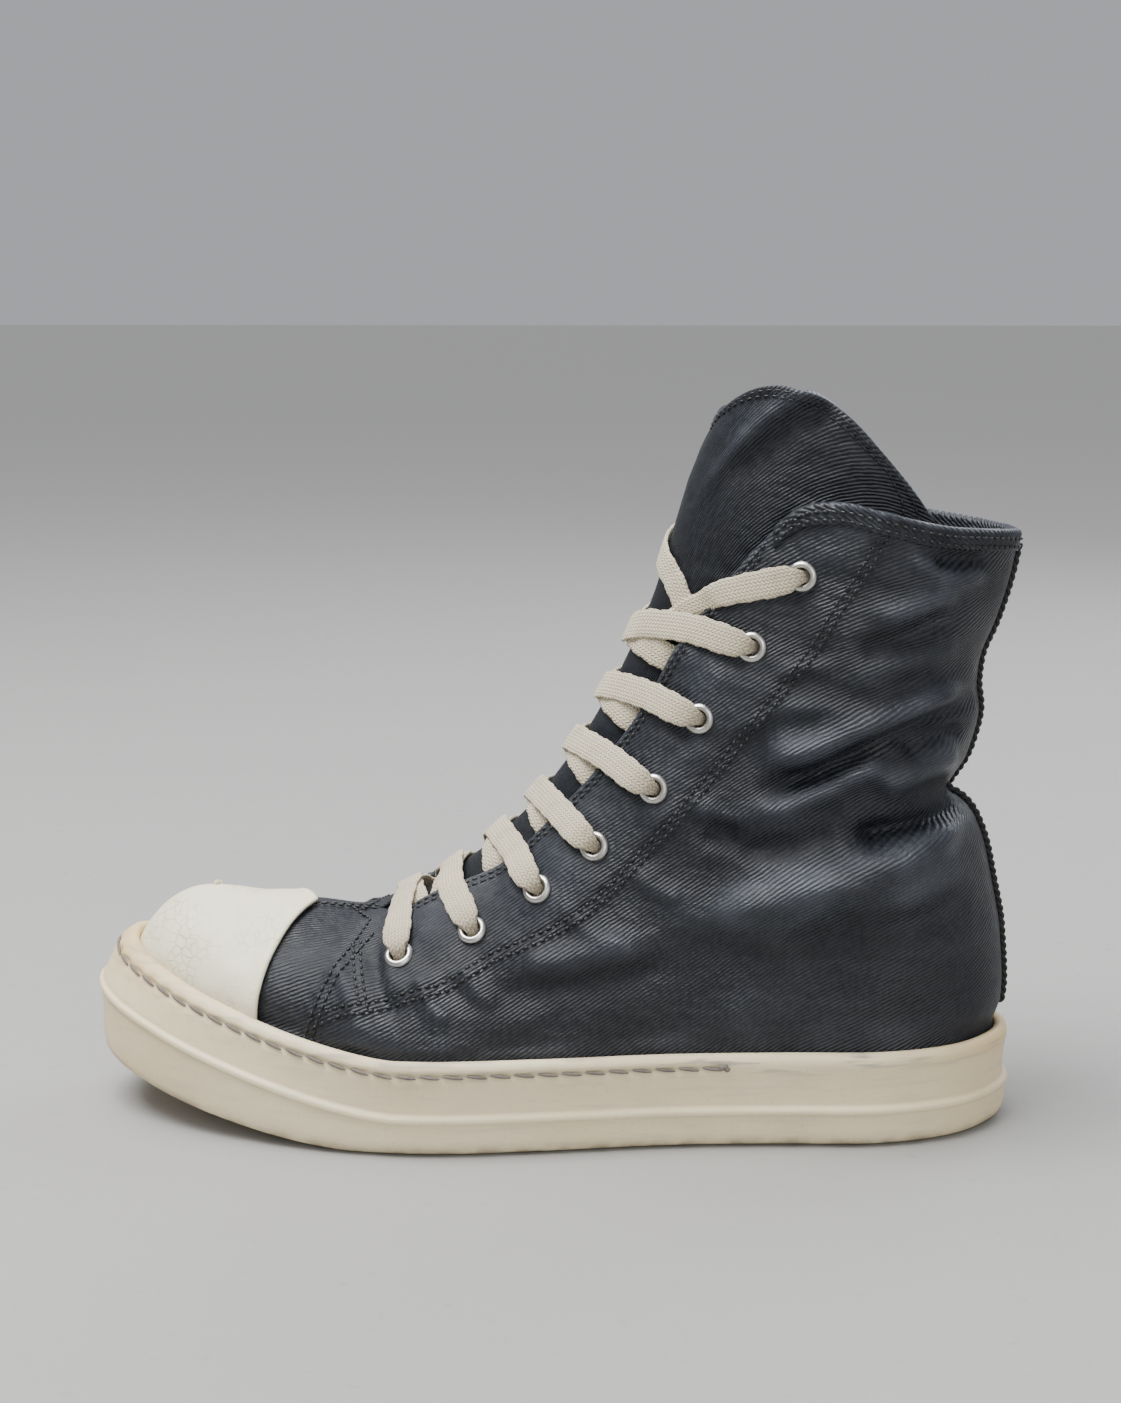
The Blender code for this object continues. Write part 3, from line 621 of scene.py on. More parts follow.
def grime_effect() -> bpy.types.NodeTree:
    """Patches and specks of dirt.

    Returns:
        A group with a soft patch mask and a fine speck mask.
    """
    w, given, out = effect("grime", ("Size", "Cover"), ("Patch", "Speck"))
    wide = w.noise(given["Vector"], w.math("DIVIDE", 1.0, given["Size"]), 6.0)
    patch = w.add(
        "ShaderNodeMapRange",
        {"Value": wide, "From Min": w.math("SUBTRACT", 0.72, given["Cover"]), "From Max": 0.78},
        interpolation_type="SMOOTHSTEP",
    ).outputs[0]
    w.tree.links.new(patch, out.inputs["Patch"])
    w.tree.links.new(w.fade(w.noise(given["Vector"], 900.0, 2.0), 0.62, 0.75), out.inputs["Speck"])
    return w.tree


TWILL = twill_effect()
GRIME = grime_effect()


@dataclass(frozen=True)
class Finish:
    """Base of every finish: its name and the constant values of its shader."""

    name: str
    metallic: float = 0.0
    sheen: float = 0.0
    specular: float = 0.5

    def start(self) -> tuple[bpy.types.Material, Wiring, bpy.types.Node]:
        """Makes the material with its shader.

        Returns:
            The material, its wiring and its Principled BSDF.
        """
        material = bpy.data.materials.new(self.name)
        material.use_nodes = True
        shader = material.node_tree.nodes["Principled BSDF"]
        shader.inputs["Metallic"].default_value = self.metallic
        shader.inputs["Sheen Weight"].default_value = self.sheen
        shader.inputs["Sheen Roughness"].default_value = 0.45
        shader.inputs["Specular IOR Level"].default_value = self.specular
        return material, Wiring(material.node_tree), shader

    def group(self, w: Wiring, tree: bpy.types.NodeTree, **inputs: object) -> bpy.types.Node:
        """Places a shared effect with its own values."""
        node = w.add("ShaderNodeGroup", node_tree=tree)
        for key, value in inputs.items():
            if isinstance(value, bpy.types.NodeSocket):
                w.tree.links.new(value, node.inputs[key])
            else:
                node.inputs[key].default_value = value
        return node

    def wire(
        self, w: Wiring, shader: bpy.types.Node, colour: object, roughness: object, normal: object
    ) -> None:
        """Links colour, roughness and normal to the shader."""
        w.tree.links.new(colour, shader.inputs["Base Color"])
        w.tree.links.new(roughness, shader.inputs["Roughness"])
        w.tree.links.new(normal, shader.inputs["Normal"])


@dataclass(frozen=True)
class Cloth(Finish):
    """Waxed twill: dark, with ribs and a soft wax gloss; fold crests painted paler for wear and as painted highlight,
    and rib crests painted lighter as painted highlight.
    """

    dark: tuple = (0.0050, 0.0058, 0.0080, 1)
    # worn: the paler tone for real wear, yarn slubs and the painted highlights on fold and rib crests.
    worn: tuple = (0.050, 0.056, 0.069, 1)
    dust: tuple = (0.085, 0.084, 0.080, 1)
    pitch: float = 0.00112
    turn: float = 2.14
    gloss: float = 0.46

    def make(self) -> bpy.types.Material:
        """Makes the material."""
        material, w, shader = self.start()
        uv = w.add("ShaderNodeTexCoord").outputs["UV"]
        place = w.add("ShaderNodeTexCoord").outputs["Object"]
        twill = self.group(w, TWILL, Vector=uv, Pitch=self.pitch, Turn=self.turn)
        grime = self.group(w, GRIME, Vector=place, Size=0.02, Cover=0.22)
        # The surface mask paints fold crests and edges paler: real wear and painted highlight together.
        wear_and_highlight = w.mask("wear_and_highlight")
        broad = w.fade(w.noise(place, 42.0, 5.0), 0.35, 0.7)
        # rubbed carries the mask's wear and painted highlight, varied in patches.
        rubbed = w.math("MULTIPLY", wear_and_highlight, w.math("ADD", w.math("MULTIPLY", broad, 0.6), 0.4))
        patchy = w.math("ADD", w.math("MULTIPLY", broad, 0.16), 0.20)
        # Rib crests painted lighter than the hollows: a painted highlight along the twill.
        rib_highlight = w.math("MULTIPLY", twill.outputs["Height"], patchy)
        share = w.math("ADD", w.math("ADD", rubbed, rib_highlight), w.math("MULTIPLY", twill.outputs["Yarn"], 0.17))
        colour = w.mix(w.math("MINIMUM", share, 1.0), self.dark, self.worn)
        dusty = w.math("MULTIPLY", grime.outputs["Patch"], 0.08)
        dusty = w.math("ADD", dusty, w.math("MULTIPLY", grime.outputs["Speck"], 0.08))
        colour = w.mix(dusty, colour, self.dust)
        rough = w.math("ADD", w.math("MULTIPLY", broad, -0.14), self.gloss)
        rough = w.math("ADD", rough, w.math("MULTIPLY", twill.outputs["Yarn"], 0.10))
        crumple = w.bump(w.noise(w.stretch(place, (60.0, 60.0, 95.0)), 1.0, 6.0), 1.6)
        fine = w.bump(w.noise(place, 420.0, 3.0), 0.12, crumple)
        self.wire(w, shader, colour, rough, w.bump(twill.outputs["Height"], 0.26, fine))
        return material


@dataclass(frozen=True)
class Rubber(Finish):
    """Cream rubber that has yellowed at toe and heel, scuffed at the rim and picked up dirt, with painted shade in its
    grooves.
    """

    cream: tuple = (0.830, 0.725, 0.490, 1)
    yellow: tuple = (0.740, 0.540, 0.270, 1)
    scuff: tuple = (0.330, 0.305, 0.260, 1)
    # dirt: also the tone of the painted shade in the grooves.
    dirt: tuple = (0.300, 0.225, 0.140, 1)

    def make(self) -> bpy.types.Material:
        """Makes the material."""
        material, w, shader = self.start()
        place = w.add("ShaderNodeTexCoord").outputs["Object"]
        x, _, z = w.add("ShaderNodeSeparateXYZ", {0: place}).outputs
        grime = self.group(w, GRIME, Vector=place, Size=0.03, Cover=0.26)
        ends = w.math("MAXIMUM", w.fade(x, -0.085, -0.150), w.fade(x, 0.105, 0.152))
        rim = w.mask("rim")
        old = w.math("MULTIPLY", ends, w.math("ADD", w.math("MULTIPLY", rim, 0.55), 0.25))
        old = w.math("ADD", old, w.math("MULTIPLY", w.noise(place, 30.0, 3.0), 0.22))
        colour = w.mix(old, self.cream, self.yellow)
        streak = w.fade(w.noise(w.stretch(place, (45.0, 45.0, 420.0)), 1.0, 6.0), 0.50, 0.68)
        rubbed = w.math("MULTIPLY", w.fade(x, 0.020, 0.060), w.fade(x, 0.135, 0.100))
        amount = w.math("ADD", w.math("MULTIPLY", rubbed, 0.5), 0.35)
        worn = w.math("MULTIPLY", streak, w.math("ADD", w.math("MULTIPLY", rim, amount), 0.12))
        colour = w.mix(worn, colour, self.scuff)
        low = w.mask("low")
        dirty = w.math("MULTIPLY", low, w.fade(w.noise(place, 120.0, 5.0), 0.35, 0.7))
        dirty = w.math("ADD", w.math("MULTIPLY", dirty, 0.75), w.math("MULTIPLY", grime.outputs["Speck"], 0.20))
        dirty = w.math("ADD", dirty, w.math("MULTIPLY", grime.outputs["Patch"], 0.10))
        # Seam groove and the line just above the mid ridge's lip darkened: dirt and painted shade.
        groove_dirt_and_shade = w.math("MULTIPLY", w.mask("groove"), 0.30)
        colour = w.mix(w.math("MAXIMUM", dirty, groove_dirt_and_shade), colour, self.dirt)
        rough = w.math("ADD", w.math("MULTIPLY", w.noise(place, 90.0, 4.0), 0.22), 0.40)
        soft = w.bump(w.noise(place, 55.0, 4.0), 0.5)
        self.wire(w, shader, colour, rough, w.bump(w.noise(place, 1100.0, 2.0), 0.04, soft))
        return material


@dataclass(frozen=True)
class CapLeather(Finish):
    """Cream white cap with fine cracks and a soiled foot."""

    cream: tuple = (0.860, 0.810, 0.590, 1)
    crack: tuple = (0.470, 0.430, 0.320, 1)
    soil: tuple = (0.420, 0.370, 0.270, 1)

    def make(self) -> bpy.types.Material:
        """Makes the material."""
        material, w, shader = self.start()
        place = w.add("ShaderNodeTexCoord").outputs["Object"]
        bent = w.add("ShaderNodeVectorMath", {0: place, 1: w.add(
            "ShaderNodeVectorMath", {0: w.add("ShaderNodeTexNoise", {"Vector": place, "Scale": 130.0}).outputs["Color"],
                                     1: (0.0035, 0.0035, 0.0035)}, operation="MULTIPLY").outputs[0]})
        cells = w.add(
            "ShaderNodeTexVoronoi", {"Vector": w.stretch(bent.outputs[0], (330.0, 170.0, 330.0)), "Scale": 1.0},
            feature="DISTANCE_TO_EDGE",
        ).outputs["Distance"]
        line = w.math("SUBTRACT", 1.0, w.fade(cells, 0.0, 0.10))
        shown = w.math("MULTIPLY", line, w.fade(w.noise(place, 60.0, 4.0), 0.42, 0.72))
        grime = self.group(w, GRIME, Vector=place, Size=0.016, Cover=0.22)
        colour = w.mix(w.math("MULTIPLY", shown, 0.55), self.cream, self.crack)
        dirty = w.math("ADD", w.math("MULTIPLY", w.mask("foot"), 0.55), w.math("MULTIPLY", grime.outputs["Patch"], 0.12))
        dirty = w.math("ADD", dirty, w.math("MULTIPLY", grime.outputs["Speck"], 0.10))
        colour = w.mix(dirty, colour, self.soil)
        rough = w.math("ADD", w.math("MULTIPLY", w.noise(place, 140.0, 3.0), 0.2), 0.42)
        soft = w.bump(w.noise(w.stretch(place, (120.0, 60.0, 120.0)), 1.0, 5.0), 0.6)
        self.wire(w, shader, colour, rough, w.bump(w.math("MULTIPLY", shown, -1.0), 0.15, soft))
        return material


@dataclass(frozen=True)
class Cotton(Finish):
    """Flat braided lace: chevrons of cotton with stains and painted shade in the braid's hollows."""

    pale: tuple = (0.690, 0.605, 0.430, 1)
    # Painted shade for the braid's hollows.
    hollow_shade: tuple = (0.400, 0.350, 0.265, 1)
    stain: tuple = (0.200, 0.160, 0.115, 1)

    def make(self) -> bpy.types.Material:
        """Makes the material."""
        material, w, shader = self.start()
        uv = w.add("ShaderNodeTexCoord").outputs["UV"]
        place = w.add("ShaderNodeTexCoord").outputs["Object"]
        u, v, _ = w.add("ShaderNodeSeparateXYZ", {0: uv}).outputs
        column = w.math("PINGPONG", w.math("ADD", u, 0.1), 0.00115)
        chevron = w.math("SINE", w.math("DIVIDE", w.math("ADD", v, w.math("MULTIPLY", column, 1.1)), 0.00022))
        ridge = w.math("SINE", w.math("DIVIDE", u, 0.00018))
        height = w.math("ADD", w.math("MULTIPLY", chevron, 0.3), w.math("MULTIPLY", ridge, 0.2))
        fuzz = w.noise(place, 1900.0, 3.0)
        grime = self.group(w, GRIME, Vector=place, Size=0.007, Cover=0.26)
        # The braid's hollows are mixed towards the dark tone by their depth: painted shade.
        colour = w.mix(w.fade(height, 0.3, -0.4), self.pale, self.hollow_shade)
        dirty = w.math("ADD", w.math("MULTIPLY", grime.outputs["Patch"], 0.35), w.math("MULTIPLY", w.mask("stain"), 0.7))
        colour = w.mix(w.math("MULTIPLY", dirty, w.fade(fuzz, 0.2, 0.7)), colour, self.stain)
        bumpy = w.bump(fuzz, 0.10, w.bump(height, 0.28))
        self.wire(w, shader, colour, w.math("ADD", w.math("MULTIPLY", fuzz, 0.1), 0.85), bumpy)
        return material


@dataclass(frozen=True)
class Plain(Finish):
    """A small piece's finish: one colour that varies, a fine grain and its dirt."""

    colour: tuple = (0.5, 0.5, 0.5, 1)
    dirt: tuple = (0.1, 0.09, 0.08, 1)
    roughness: float = 0.5
    grain: float = 900.0
    depth: float = 0.05
    cover: float = 0.25

    def make(self) -> bpy.types.Material:
        """Makes the material."""
        material, w, shader = self.start()
        place = w.add("ShaderNodeTexCoord").outputs["Object"]
        grime = self.group(w, GRIME, Vector=place, Size=0.006, Cover=self.cover)
        grain = w.noise(place, self.grain, 3.0)
        dirty = w.math("ADD", w.math("MULTIPLY", grime.outputs["Patch"], 0.55), w.math("MULTIPLY", grain, 0.2))
        rough = w.math("ADD", w.math("MULTIPLY", dirty, 0.35), self.roughness)
        self.wire(w, shader, w.mix(dirty, self.colour, self.dirt), rough, w.bump(grain, self.depth))
        return material


@dataclass(frozen=True)
class Fold:
    """A trough (negative height) or ridge of the cloth, seen from the side, in millimetres."""

    path: Points
    width: float
    height: float


FOLDS = (
    Fold(((136, 110), (123, 106), (108, 103), (97, 101)), 4.2, -3.4),
    Fold(((136, 105), (121, 99), (106, 91), (90, 85), (69, 80), (50, 79)), 8.5, 3.0),
    Fold(((134, 141), (118, 137), (104, 132), (93, 126), (82, 121), (70, 117)), 3.6, -2.4),
    Fold(((134, 149), (114, 141), (95, 134), (80, 128), (66, 126)), 5.5, 2.0),
    Fold(((133, 134), (121, 132), (111, 128)), 3.0, -1.6),
    Fold(((108, 126), (94, 120), (78, 112), (64, 109)), 4.5, 1.5),
    Fold(((132, 126), (118, 122), (104, 116)), 5.0, 1.4),
    Fold(((50, 103), (62, 101)), 5.0, -1.5),
    Fold(((137, 188), (119, 189)), 3.0, -1.2),
    Fold(((112, 190), (121, 185), (129, 182), (137, 185)), 3.6, 1.1),
    Fold(((101, 171), (115, 174), (129, 179)), 4.5, 1.2),
    Fold(((96, 160), (110, 164), (126, 173)), 4.5, -1.3),
    Fold(((93, 150), (110, 155), (130, 163)), 5.0, 0.9),
    Fold(((-8, 60), (10, 63), (32, 67)), 5.5, 1.1),
    Fold(((-20, 50), (8, 54), (40, 58)), 6.0, -0.8),
    Fold(((60, 96), (78, 99), (92, 104)), 4.0, -1.3),
    Fold(((96, 72), (118, 82), (136, 93)), 7.0, 0.9),
    Fold(((76, 62), (104, 70), (138, 78)), 8.0, -0.9),
    Fold(((62, 135), (72, 141), (86, 143)), 3.2, 0.8),
    Fold(((72, 152), (80, 155), (90, 156)), 3.0, 0.8),
    Fold(((45, 112), (54, 108), (64, 106)), 3.2, 0.9),
    Fold(((28, 90), (36, 84), (44, 82)), 3.5, 0.8),
    Fold(((8, 76), (16, 70), (26, 68)), 3.5, 0.7),
    Fold(((-26, 60), (-22, 53), (-14, 48)), 3.2, 0.7),
    Fold(((-40, 57), (-36, 49), (-30, 43)), 3.2, 0.7),
    Fold(((-56, 62), (-52, 52), (-46, 44)), 3.4, -0.8),
    Fold(((-68, 58), (-62, 48), (-58, 38)), 2.8, 0.6),
)
EYESTAY_SEAM = (
    (-74, 38), (-66, 42), (-57, 44), (-43, 48), (-30, 52), (-16, 60), (-4, 65), (11, 73), (23, 83), (33, 94),
    (42.3, 104), (47.7, 111), (56.4, 122), (66, 134), (73.6, 144), (81.2, 154), (86.6, 162), (93.3, 174),
    (98.7, 182), (103.2, 190), (108.7, 199),
)
QUARTER_EDGE = ((-79, 33), (-75, 45), (-70, 55), (-64, 62), (-59, 67))
VAMP_SEAM = ((-63, 61), (-58, 46))


@dataclass
class Upper:
    """The cloth upper with its folds, seams, hem and back cord."""

    wall: float = 2.0
    facing_step: float = 0.55
    quarter_step: float = 0.9
    columns: int = 330
    rows: int = 124
    fold_height: float = 2.1
    fold_width: float = 0.86
    stitch_pitch: float = 2.9
    thread: float = 1.1
    eyestay_rows: tuple[float, float] = (0.9, 3.3)
    eyelets: Points = (
        (-0.153, 0.295), (-0.076, 0.336), (-0.007, 0.400), (0.051, 0.470), (0.112, 0.562), (0.158, 0.672),
        (0.210, 0.784), (0.259, 0.893),
    )
    hole: float = 3.1

    def relief(self, points: Array, inner: Array) -> Array:
        """Height of folds, steps and seams over the plain surface.

        Args:
            points: Points of the plain surface.
            inner: Share of the inner side's own folds, 0 on the outer side.

        Returns:
            Heights in millimetres.
        """
        flat = points[:, [0, 2]]
        moved = flat + inner[:, None] * np.array((-3.0, 2.0))
        height = np.zeros(len(points))
        for fold in FOLDS:
            away, _, share = path_distance(moved, fold.path)
            ends = smooth_step(share, 0, 0.16) * smooth_step(share, 1, 0.84)
            crest = np.exp(-((away / (self.fold_width * fold.width)) ** 2)) * (0.2 + 0.8 * ends)
            height += self.fold_height * fold.height * (1 - 0.2 * inner) * crest
        ankle = np.exp(-(((points[:, 2] - 125) / 45) ** 2)) * smooth_step(points[:, 0], 0, 90)
        height += ripple(points, 46, inner * 2.6) * 0.8 + ripple(points, 17, inner) * (0.2 + 0.45 * ankle)
        facing, above, run = path_distance(flat, EYESTAY_SEAM)
        height += self.facing_step * smooth_step(above, -0.6, 0.6)
        pucker = np.cos(run * 250) * 0.10
        for row in self.eyestay_rows:
            height += (pucker - 0.45) * np.exp(-(((above - row) / 0.8) ** 2))
        _, behind, _ = path_distance(flat, QUARTER_EDGE)
        quarter = smooth_step(-behind, -0.5, 0.5) * smooth_step(flat[:, 0], -90, -80)
        height += self.quarter_step * np.where(flat[:, 0] > -50, 1.0, quarter)
        return height - self.quarter_step

    def skin(self, angle: Array, row: Array) -> tuple[Array, Array, Array]:
        """Points, facings and relief of the finished outer face."""
        points, facing = LAST.upper(angle, row), LAST.normal(angle, row)
        turn = np.abs(angle)
        crown = (1 - smooth_step(turn, 64, 72)) * smooth_step(row, 0.85, 1.0)
        inner = (np.asarray(angle) > 0) * smooth_step(turn, 178, 150) * smooth_step(turn, 2, 12) * (1 - crown)
        height = self.relief(points.reshape(-1, 3), np.broadcast_to(inner, points.shape[:-1]).ravel())
        height = height.reshape(points.shape[:-1]) * smooth_step(row, 0.0, 0.05)
        height = height * (1 - 0.85 * smooth_step(turn, 150, 176))
        return points + facing * height[..., None], facing, height

    def eyelet_axes(self) -> list[tuple[Side, int, Array, Array]]:
        """Side, number, centre and facing of each eyelet on the finished surface."""
        found = []
        for side in Side:
            along, high = np.array(self.eyelets).T
            angle, row = LAST.upper_at(side, along * LAST.sole_length, high * LAST.collar_height)
            centres, facings, _ = self.skin(angle, row)
            found += [(side, k + 1, centres[k], facings[k]) for k in range(len(along))]
        return found

    def place(self, u: Array, v: Array) -> Sheet:
        """The upper's outer face as a fine sheet, from below the rim to the top line."""
        probe = np.linspace(-180, 180, 721)
        line = LAST.upper(probe, 0.45)
        run = np.concatenate([[0.0], np.cumsum(np.linalg.norm(np.diff(line, axis=0), axis=1))])
        angle = np.interp(u * run[-1], run, probe)
        angle = np.where(np.abs(u - 0.5) > 0.499999, 180.0, angle)
        foot_rows = 4 / self.rows
        row = np.clip((v - foot_rows) / (1 - foot_rows), 0, 1)
        points, facing, height = self.skin(angle, row)
        under = smooth_step(foot_rows - v, 0, foot_rows)
        points[:, 2] -= under * 9.0
        closing = (row > 0.9999) & (np.abs(angle) <= LAST.vamp_end)
        points[closing] = (points[closing] + self.skin(-angle[closing], row[closing])[0]) / 2
        steps = [LAST.upper(angle, row * k / 12) for k in range(13)]
        upward = sum(np.linalg.norm(b - a, axis=1) for a, b in zip(steps, steps[1:])) + (1 - under) * 9
        behind = np.maximum(np.abs(angle), 110)
        back = np.interp(behind, probe[360:], run[360:]) - np.interp(110, probe[360:], run[360:])
        along = LAST.upper(np.clip(angle, -110, 110), row)[:, 0] + back
        # Fold crests painted paler for wear and as painted highlight; top edges paler with wear, paler near the sole,
        # less pale along the eyestay seam.
        wear_and_highlight = np.clip(height / 3.0, 0, 1) * 0.8
        edge = smooth_step(row, 0.975, 1.0) * (np.abs(angle) > 70)
        foot = smooth_step(row, 0.07, 0.0) * 0.3
        flat = points[:, [0, 2]]
        _, above, _ = path_distance(flat, EYESTAY_SEAM)
        seam = np.exp(-(((above - sum(self.eyestay_rows) / 2) / 2.4) ** 2))
        return Sheet(points, stack(along, upward), {"wear_and_highlight": np.clip(wear_and_highlight + 0.5 * edge + foot - seam, 0, 1)})

    def build(self) -> bpy.types.Object:
        """Makes the upper with its eyelet holes and wall.

        Returns:
            The upper.
        """
        piece = fine_sheet("cloth_upper", self.columns, self.rows, self.place)
        mesh = bmesh.new()
        mesh.from_mesh(piece.data)
        centres = np.array([axis[2] for axis in self.eyelet_axes()]) * MM
        faces = [f for f in mesh.faces if np.linalg.norm(centres - f.calc_center_median(), axis=1).min() < self.hole * MM]
        bmesh.ops.delete(mesh, geom=faces, context="FACES")
        mesh.to_mesh(piece.data)
        mesh.free()
        add_wall(piece, self.wall, inside=1)
        return piece

    def seam(self, side: Side, path: Points, shift: float = 0.0, lift: float = 0.0) -> tuple[Array, Array]:
        """Points and facings of a seam on the finished surface.

        Args:
            side: Side of the foot.
            path: The seam seen from the side.
            shift: How far it is moved to its left.
            lift: How far it stands off the cloth.

        Returns:
            Points and facings.
        """
        line = smooth_path(path, 160)
        along = unit(np.gradient(line, axis=0))
        line = line + shift * stack(-along[:, 1], along[:, 0])
        points, facing, _ = self.skin(*LAST.upper_at(side, line[:, 0], line[:, 1]))
        return points + facing * lift, facing

    def edge_row(self, angles: Array, below: float, lift: float) -> tuple[Array, Array]:
        """Points and facings of a row that runs a little below the top line."""
        reach = np.linalg.norm(LAST.upper(angles, 1.0) - LAST.upper(angles, 0.95), axis=1) / 0.05
        points, facing, _ = self.skin(angles, 1 - below / reach)
        return points + facing * lift, facing

    def build_stitches(self) -> bpy.types.Object:
        """Makes the double rows of the facings, the quarters and the collar.

        Returns:
            All of the upper's stitches.
        """
        mesh = bmesh.new()
        for side in Side:
            rows = [self.seam(side, EYESTAY_SEAM, shift, 0.3) for shift in self.eyestay_rows]
            rows += [self.seam(side, QUARTER_EDGE, -1.5, 0.2), self.seam(side, QUARTER_EDGE, -4.0, 0.2)]
            rows += [self.seam(side, VAMP_SEAM, 0.0, 0.10), self.seam(side, VAMP_SEAM, 2.4, 0.10)]
            throat = side.value * np.linspace(73, 117, 120)
            rows += [self.edge_row(throat, below, 0.10) for below in (2.0, 4.4)]
            collar = side.value * np.linspace(118, 178, 160)
            rows += [self.edge_row(collar, below, 0.95) for below in (1.6, 4.2)]
            for path, ups in rows:
                add_stitches(mesh, path, ups, self.stitch_pitch, self.stitch_pitch * 0.72, self.thread)
        return object_of("upper_stitches", mesh)

    def build_hem(self) -> bpy.types.Object:
        """Makes the hem that is turned over the collar's edge.

        Returns:
            The hem.
        """
        proud, deep = 0.75, 5.6

        def place(u: Array, v: Array) -> Sheet:
            """Round the collar along u, and from outside over the edge to inside along v."""
            angle = (118 + 124 * u + 180) % 360 - 180
            reach = np.linalg.norm(LAST.upper(angle, 1.0) - LAST.upper(angle, 0.95), axis=1) / 0.05
            outside, inside = np.clip(v / 0.4, 0, 1), np.clip((v - 0.6) / 0.4, 0, 1)
            over = np.clip((v - 0.4) / 0.2, 0, 1) * math.pi
            below = deep * (1 - outside) + deep * inside
            points, facing, height = self.skin(angle, 1 - below / reach)
            up = unit(LAST.upper(angle, 1.0) - LAST.upper(angle, 0.97))
            middle, half = -self.wall / 2, self.wall / 2 + proud
            out = middle + half * np.cos(over)
            points = points + facing * out[:, None] + up * (half * 0.8 * np.sin(over))[:, None]
            # The roll's crest is painted paler: real edge wear and painted highlight.
            wear_and_highlight = 0.1 + 0.6 * np.sin(over) + 0.2 * ripple(points, 9)
            return Sheet(points, stack(angle * 1.6, v * 12), {"wear_and_highlight": np.clip(wear_and_highlight, 0, 1)})

        piece = fine_sheet("collar_hem", 300, 20, place)
        add_wall(piece, 0.5)
        return piece

    def build_back_cord(self) -> bpy.types.Object:
        """Makes the twisted two-strand cord down the back seam.

        Returns:
            The cord.
        """
        rows = np.linspace(0.03, 0.975, 420)
        points, facing, _ = self.skin(np.full(rows.shape, 180.0), rows)
        points[:, 1] = LAST.middle_y(180.0)
        centres = points + facing * 0.95
        run = np.concatenate([[0.0], np.cumsum(np.linalg.norm(np.diff(centres, axis=0), axis=1))])
        mesh = bmesh.new()
        for start in (0.0, math.pi):
            turn = run / 5.2 * math.tau + start
            across = np.array((0.0, 1.0, 0.0))
            strand = centres + 0.55 * (np.cos(turn)[:, None] * across + np.sin(turn)[:, None] * facing)
            width = np.full(len(rows), 1.35)
            part = sweep("strand", strand, facing, width, width, around=8)
            mesh.from_mesh(part.data)
            bpy.data.objects.remove(part)
        return object_of("back_seam_cord", mesh)


